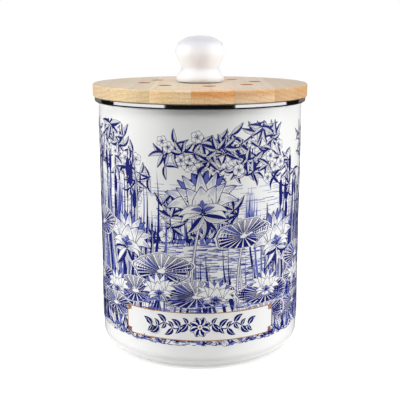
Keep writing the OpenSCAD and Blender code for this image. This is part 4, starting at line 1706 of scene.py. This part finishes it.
# %% [markdown]
# ## The studio: black sheet, low strips and cloth
#
# The glossy wall mirrors the floor, and a white floor in it would wash out the print. A black
# sheet round the bin and a low strip along either side give the glaze something dark to mirror,
# and keep the blue deep right up to the sides. A black cloth further out in front is seen by
# bounced light alone. It stops light that would come up off the far floor, so the shade under
# the rim stays dark, while the floor close to the bin still brightens the foot of the wall.

# %% Cards and cloth on the floor
SHEET_HOLE, SHEET_REACH = 0.0875, 1.08
LOW_CARD = 0.06  # height of the strips at the sides
CLOTH_NEAR, CLOTH_FAR = 0.24, 1.7
CLOTH_TURN = 72  # degrees to either side of the front
SHEET_Z, CLOTH_Z = 0.002, 0.004


def strip_round(name, turns, near, far, low, high):
    """A black strip round the bin: one edge near metres out at one height, the other far out."""
    turn = np.radians(turns)
    rings = np.stack([near + 0 * turn, far + 0 * turn])
    level = np.array([low, high])[:, None] + 0 * rings
    points = np.stack([rings * np.sin(turn), -rings * np.cos(turn), level], -1)
    number = np.arange(2 * len(turn)).reshape(2, -1)
    quads = np.stack([number[0, :-1], number[1, :-1], number[1, 1:], number[0, 1:]], -1)
    return staged(name, points.reshape(-1, 3), quads, black_card)


edge = math.degrees(math.atan(FRONT_HALF / CARD_R))
ahead = np.linspace(-edge, edge, 25)
to_card = CARD_R / np.cos(np.radians(ahead))
cards.append(strip_round("sheet_ahead", ahead, SHEET_HOLE, to_card, SHEET_Z, SHEET_Z))
around = np.linspace(edge, 360 - edge, 97)
cards.append(strip_round("sheet_round", around, SHEET_HOLE, SHEET_REACH, SHEET_Z, SHEET_Z))
for hand, first in (("left", -BACK_TURNS[0]), ("right", edge)):
    turns = np.linspace(first, first + BACK_TURNS[0] - edge, 25)
    cards.append(strip_round(f"low_card_{hand}", turns, CARD_R, CARD_R, 0, LOW_CARD))
beneath = np.arange(-CLOTH_TURN, CLOTH_TURN + 1, 4)
cloth = strip_round("far_cloth", beneath, CLOTH_NEAR, CLOTH_FAR, CLOTH_Z, CLOTH_Z)

for panel in (*cards, cloth):
    panel.visible_camera = panel.visible_shadow = False
for card in cards:
    card.visible_diffuse = False
cloth.visible_glossy = cloth.visible_transmission = False
print("cards that only reflections see, with the sheet and strips:", len(cards))

# %% [markdown]
# ## The studio: the white room
#
# The white of the background is the world's colour for camera, glossy and see-through rays only.
# For every other ray the world is dim, so that the lamps alone shape the bin.

# %% The white room
FILL = 0.04  # how brightly the room lights the bin, against 1 where it is seen

world = bpy.data.worlds.new("white room")
bpy.context.scene.world = world
world.use_nodes = True
room = world.node_tree
level = add(room, "MapRange", {0: seen_directly(room), 3: FILL, 4: 1.0})
feed(room.nodes["Background"], {"Color": PURE_WHITE, "Strength": level})
print("room lights with", FILL)

# %% [markdown]
# ## Lamps
#
# Area lamps stand for softboxes: the larger the lamp, the softer its shadow. The lamp overhead
# shines down the front at a steep angle, so the edge of the lid draws a soft shade under the
# rim. One lamp on either side brightens the flanks and leaves the middle of the wall darker,
# which shows that it is round. A weak one in front opens the shades of the knob, and one behind
# lights the back.

# %% The lamps


def softbox(name, place, target, size, watts):
    """An area lamp at a place in metres that faces a target and stays out of reflections."""
    lamp = bpy.data.lights.new(name, "AREA")
    lamp.shape = "RECTANGLE"
    lamp.size, lamp.size_y = size
    lamp.energy = watts
    holder = bpy.data.objects.new(name, lamp)
    holder.location = place
    holder.rotation_euler = (Vector(target) - Vector(place)).to_track_quat("-Z", "Y").to_euler()
    holder.visible_camera = False
    holder.visible_glossy = False
    bpy.context.scene.collection.objects.link(holder)


MIDDLE = (0, 0, 0.12)  # of the bin
FRONT_EDGE = (0, -0.09, 0.2)  # just under the edge of the lid
softbox("softbox_top", (0, -0.5, 1.2), FRONT_EDGE, (0.6, 0.58), 12.6)
softbox("softbox_front", (0, -1.6, 0.3), MIDDLE, (1.0, 0.5), 2.5)
softbox("softbox_back", (0, 1.0, 0.5), MIDDLE, (0.9, 0.6), 2.2)
softbox("softbox_left", (-1.0, -0.09, 0.32), MIDDLE, (0.7, 0.6), 11.8)
softbox("softbox_right", (1.0, -0.09, 0.32), MIDDLE, (0.7, 0.6), 11.8)

# %% [markdown]
# ## Camera
#
# The camera looks down a little, from far enough away that the sides of the pot run almost
# parallel, and its lens is as long as that distance asks for.

# %% The camera
CAMERA_PLACE = (0, -0.6487, 0.2661)
CAMERA_PITCH = 77.422  # degrees up from straight down
CAMERA_LENS = 68.48
lens = bpy.data.cameras.new("camera")
lens.lens = CAMERA_LENS
lens.sensor_width = 36
camera = bpy.data.objects.new("camera", lens)
camera.location = CAMERA_PLACE
camera.rotation_euler = (math.radians(CAMERA_PITCH), 0, 0)
bpy.context.scene.collection.objects.link(camera)
bpy.context.scene.camera = camera
bpy.context.scene.view_settings.view_transform = "Standard"
print("camera at", CAMERA_PLACE, "with a lens of", CAMERA_LENS, "mm")
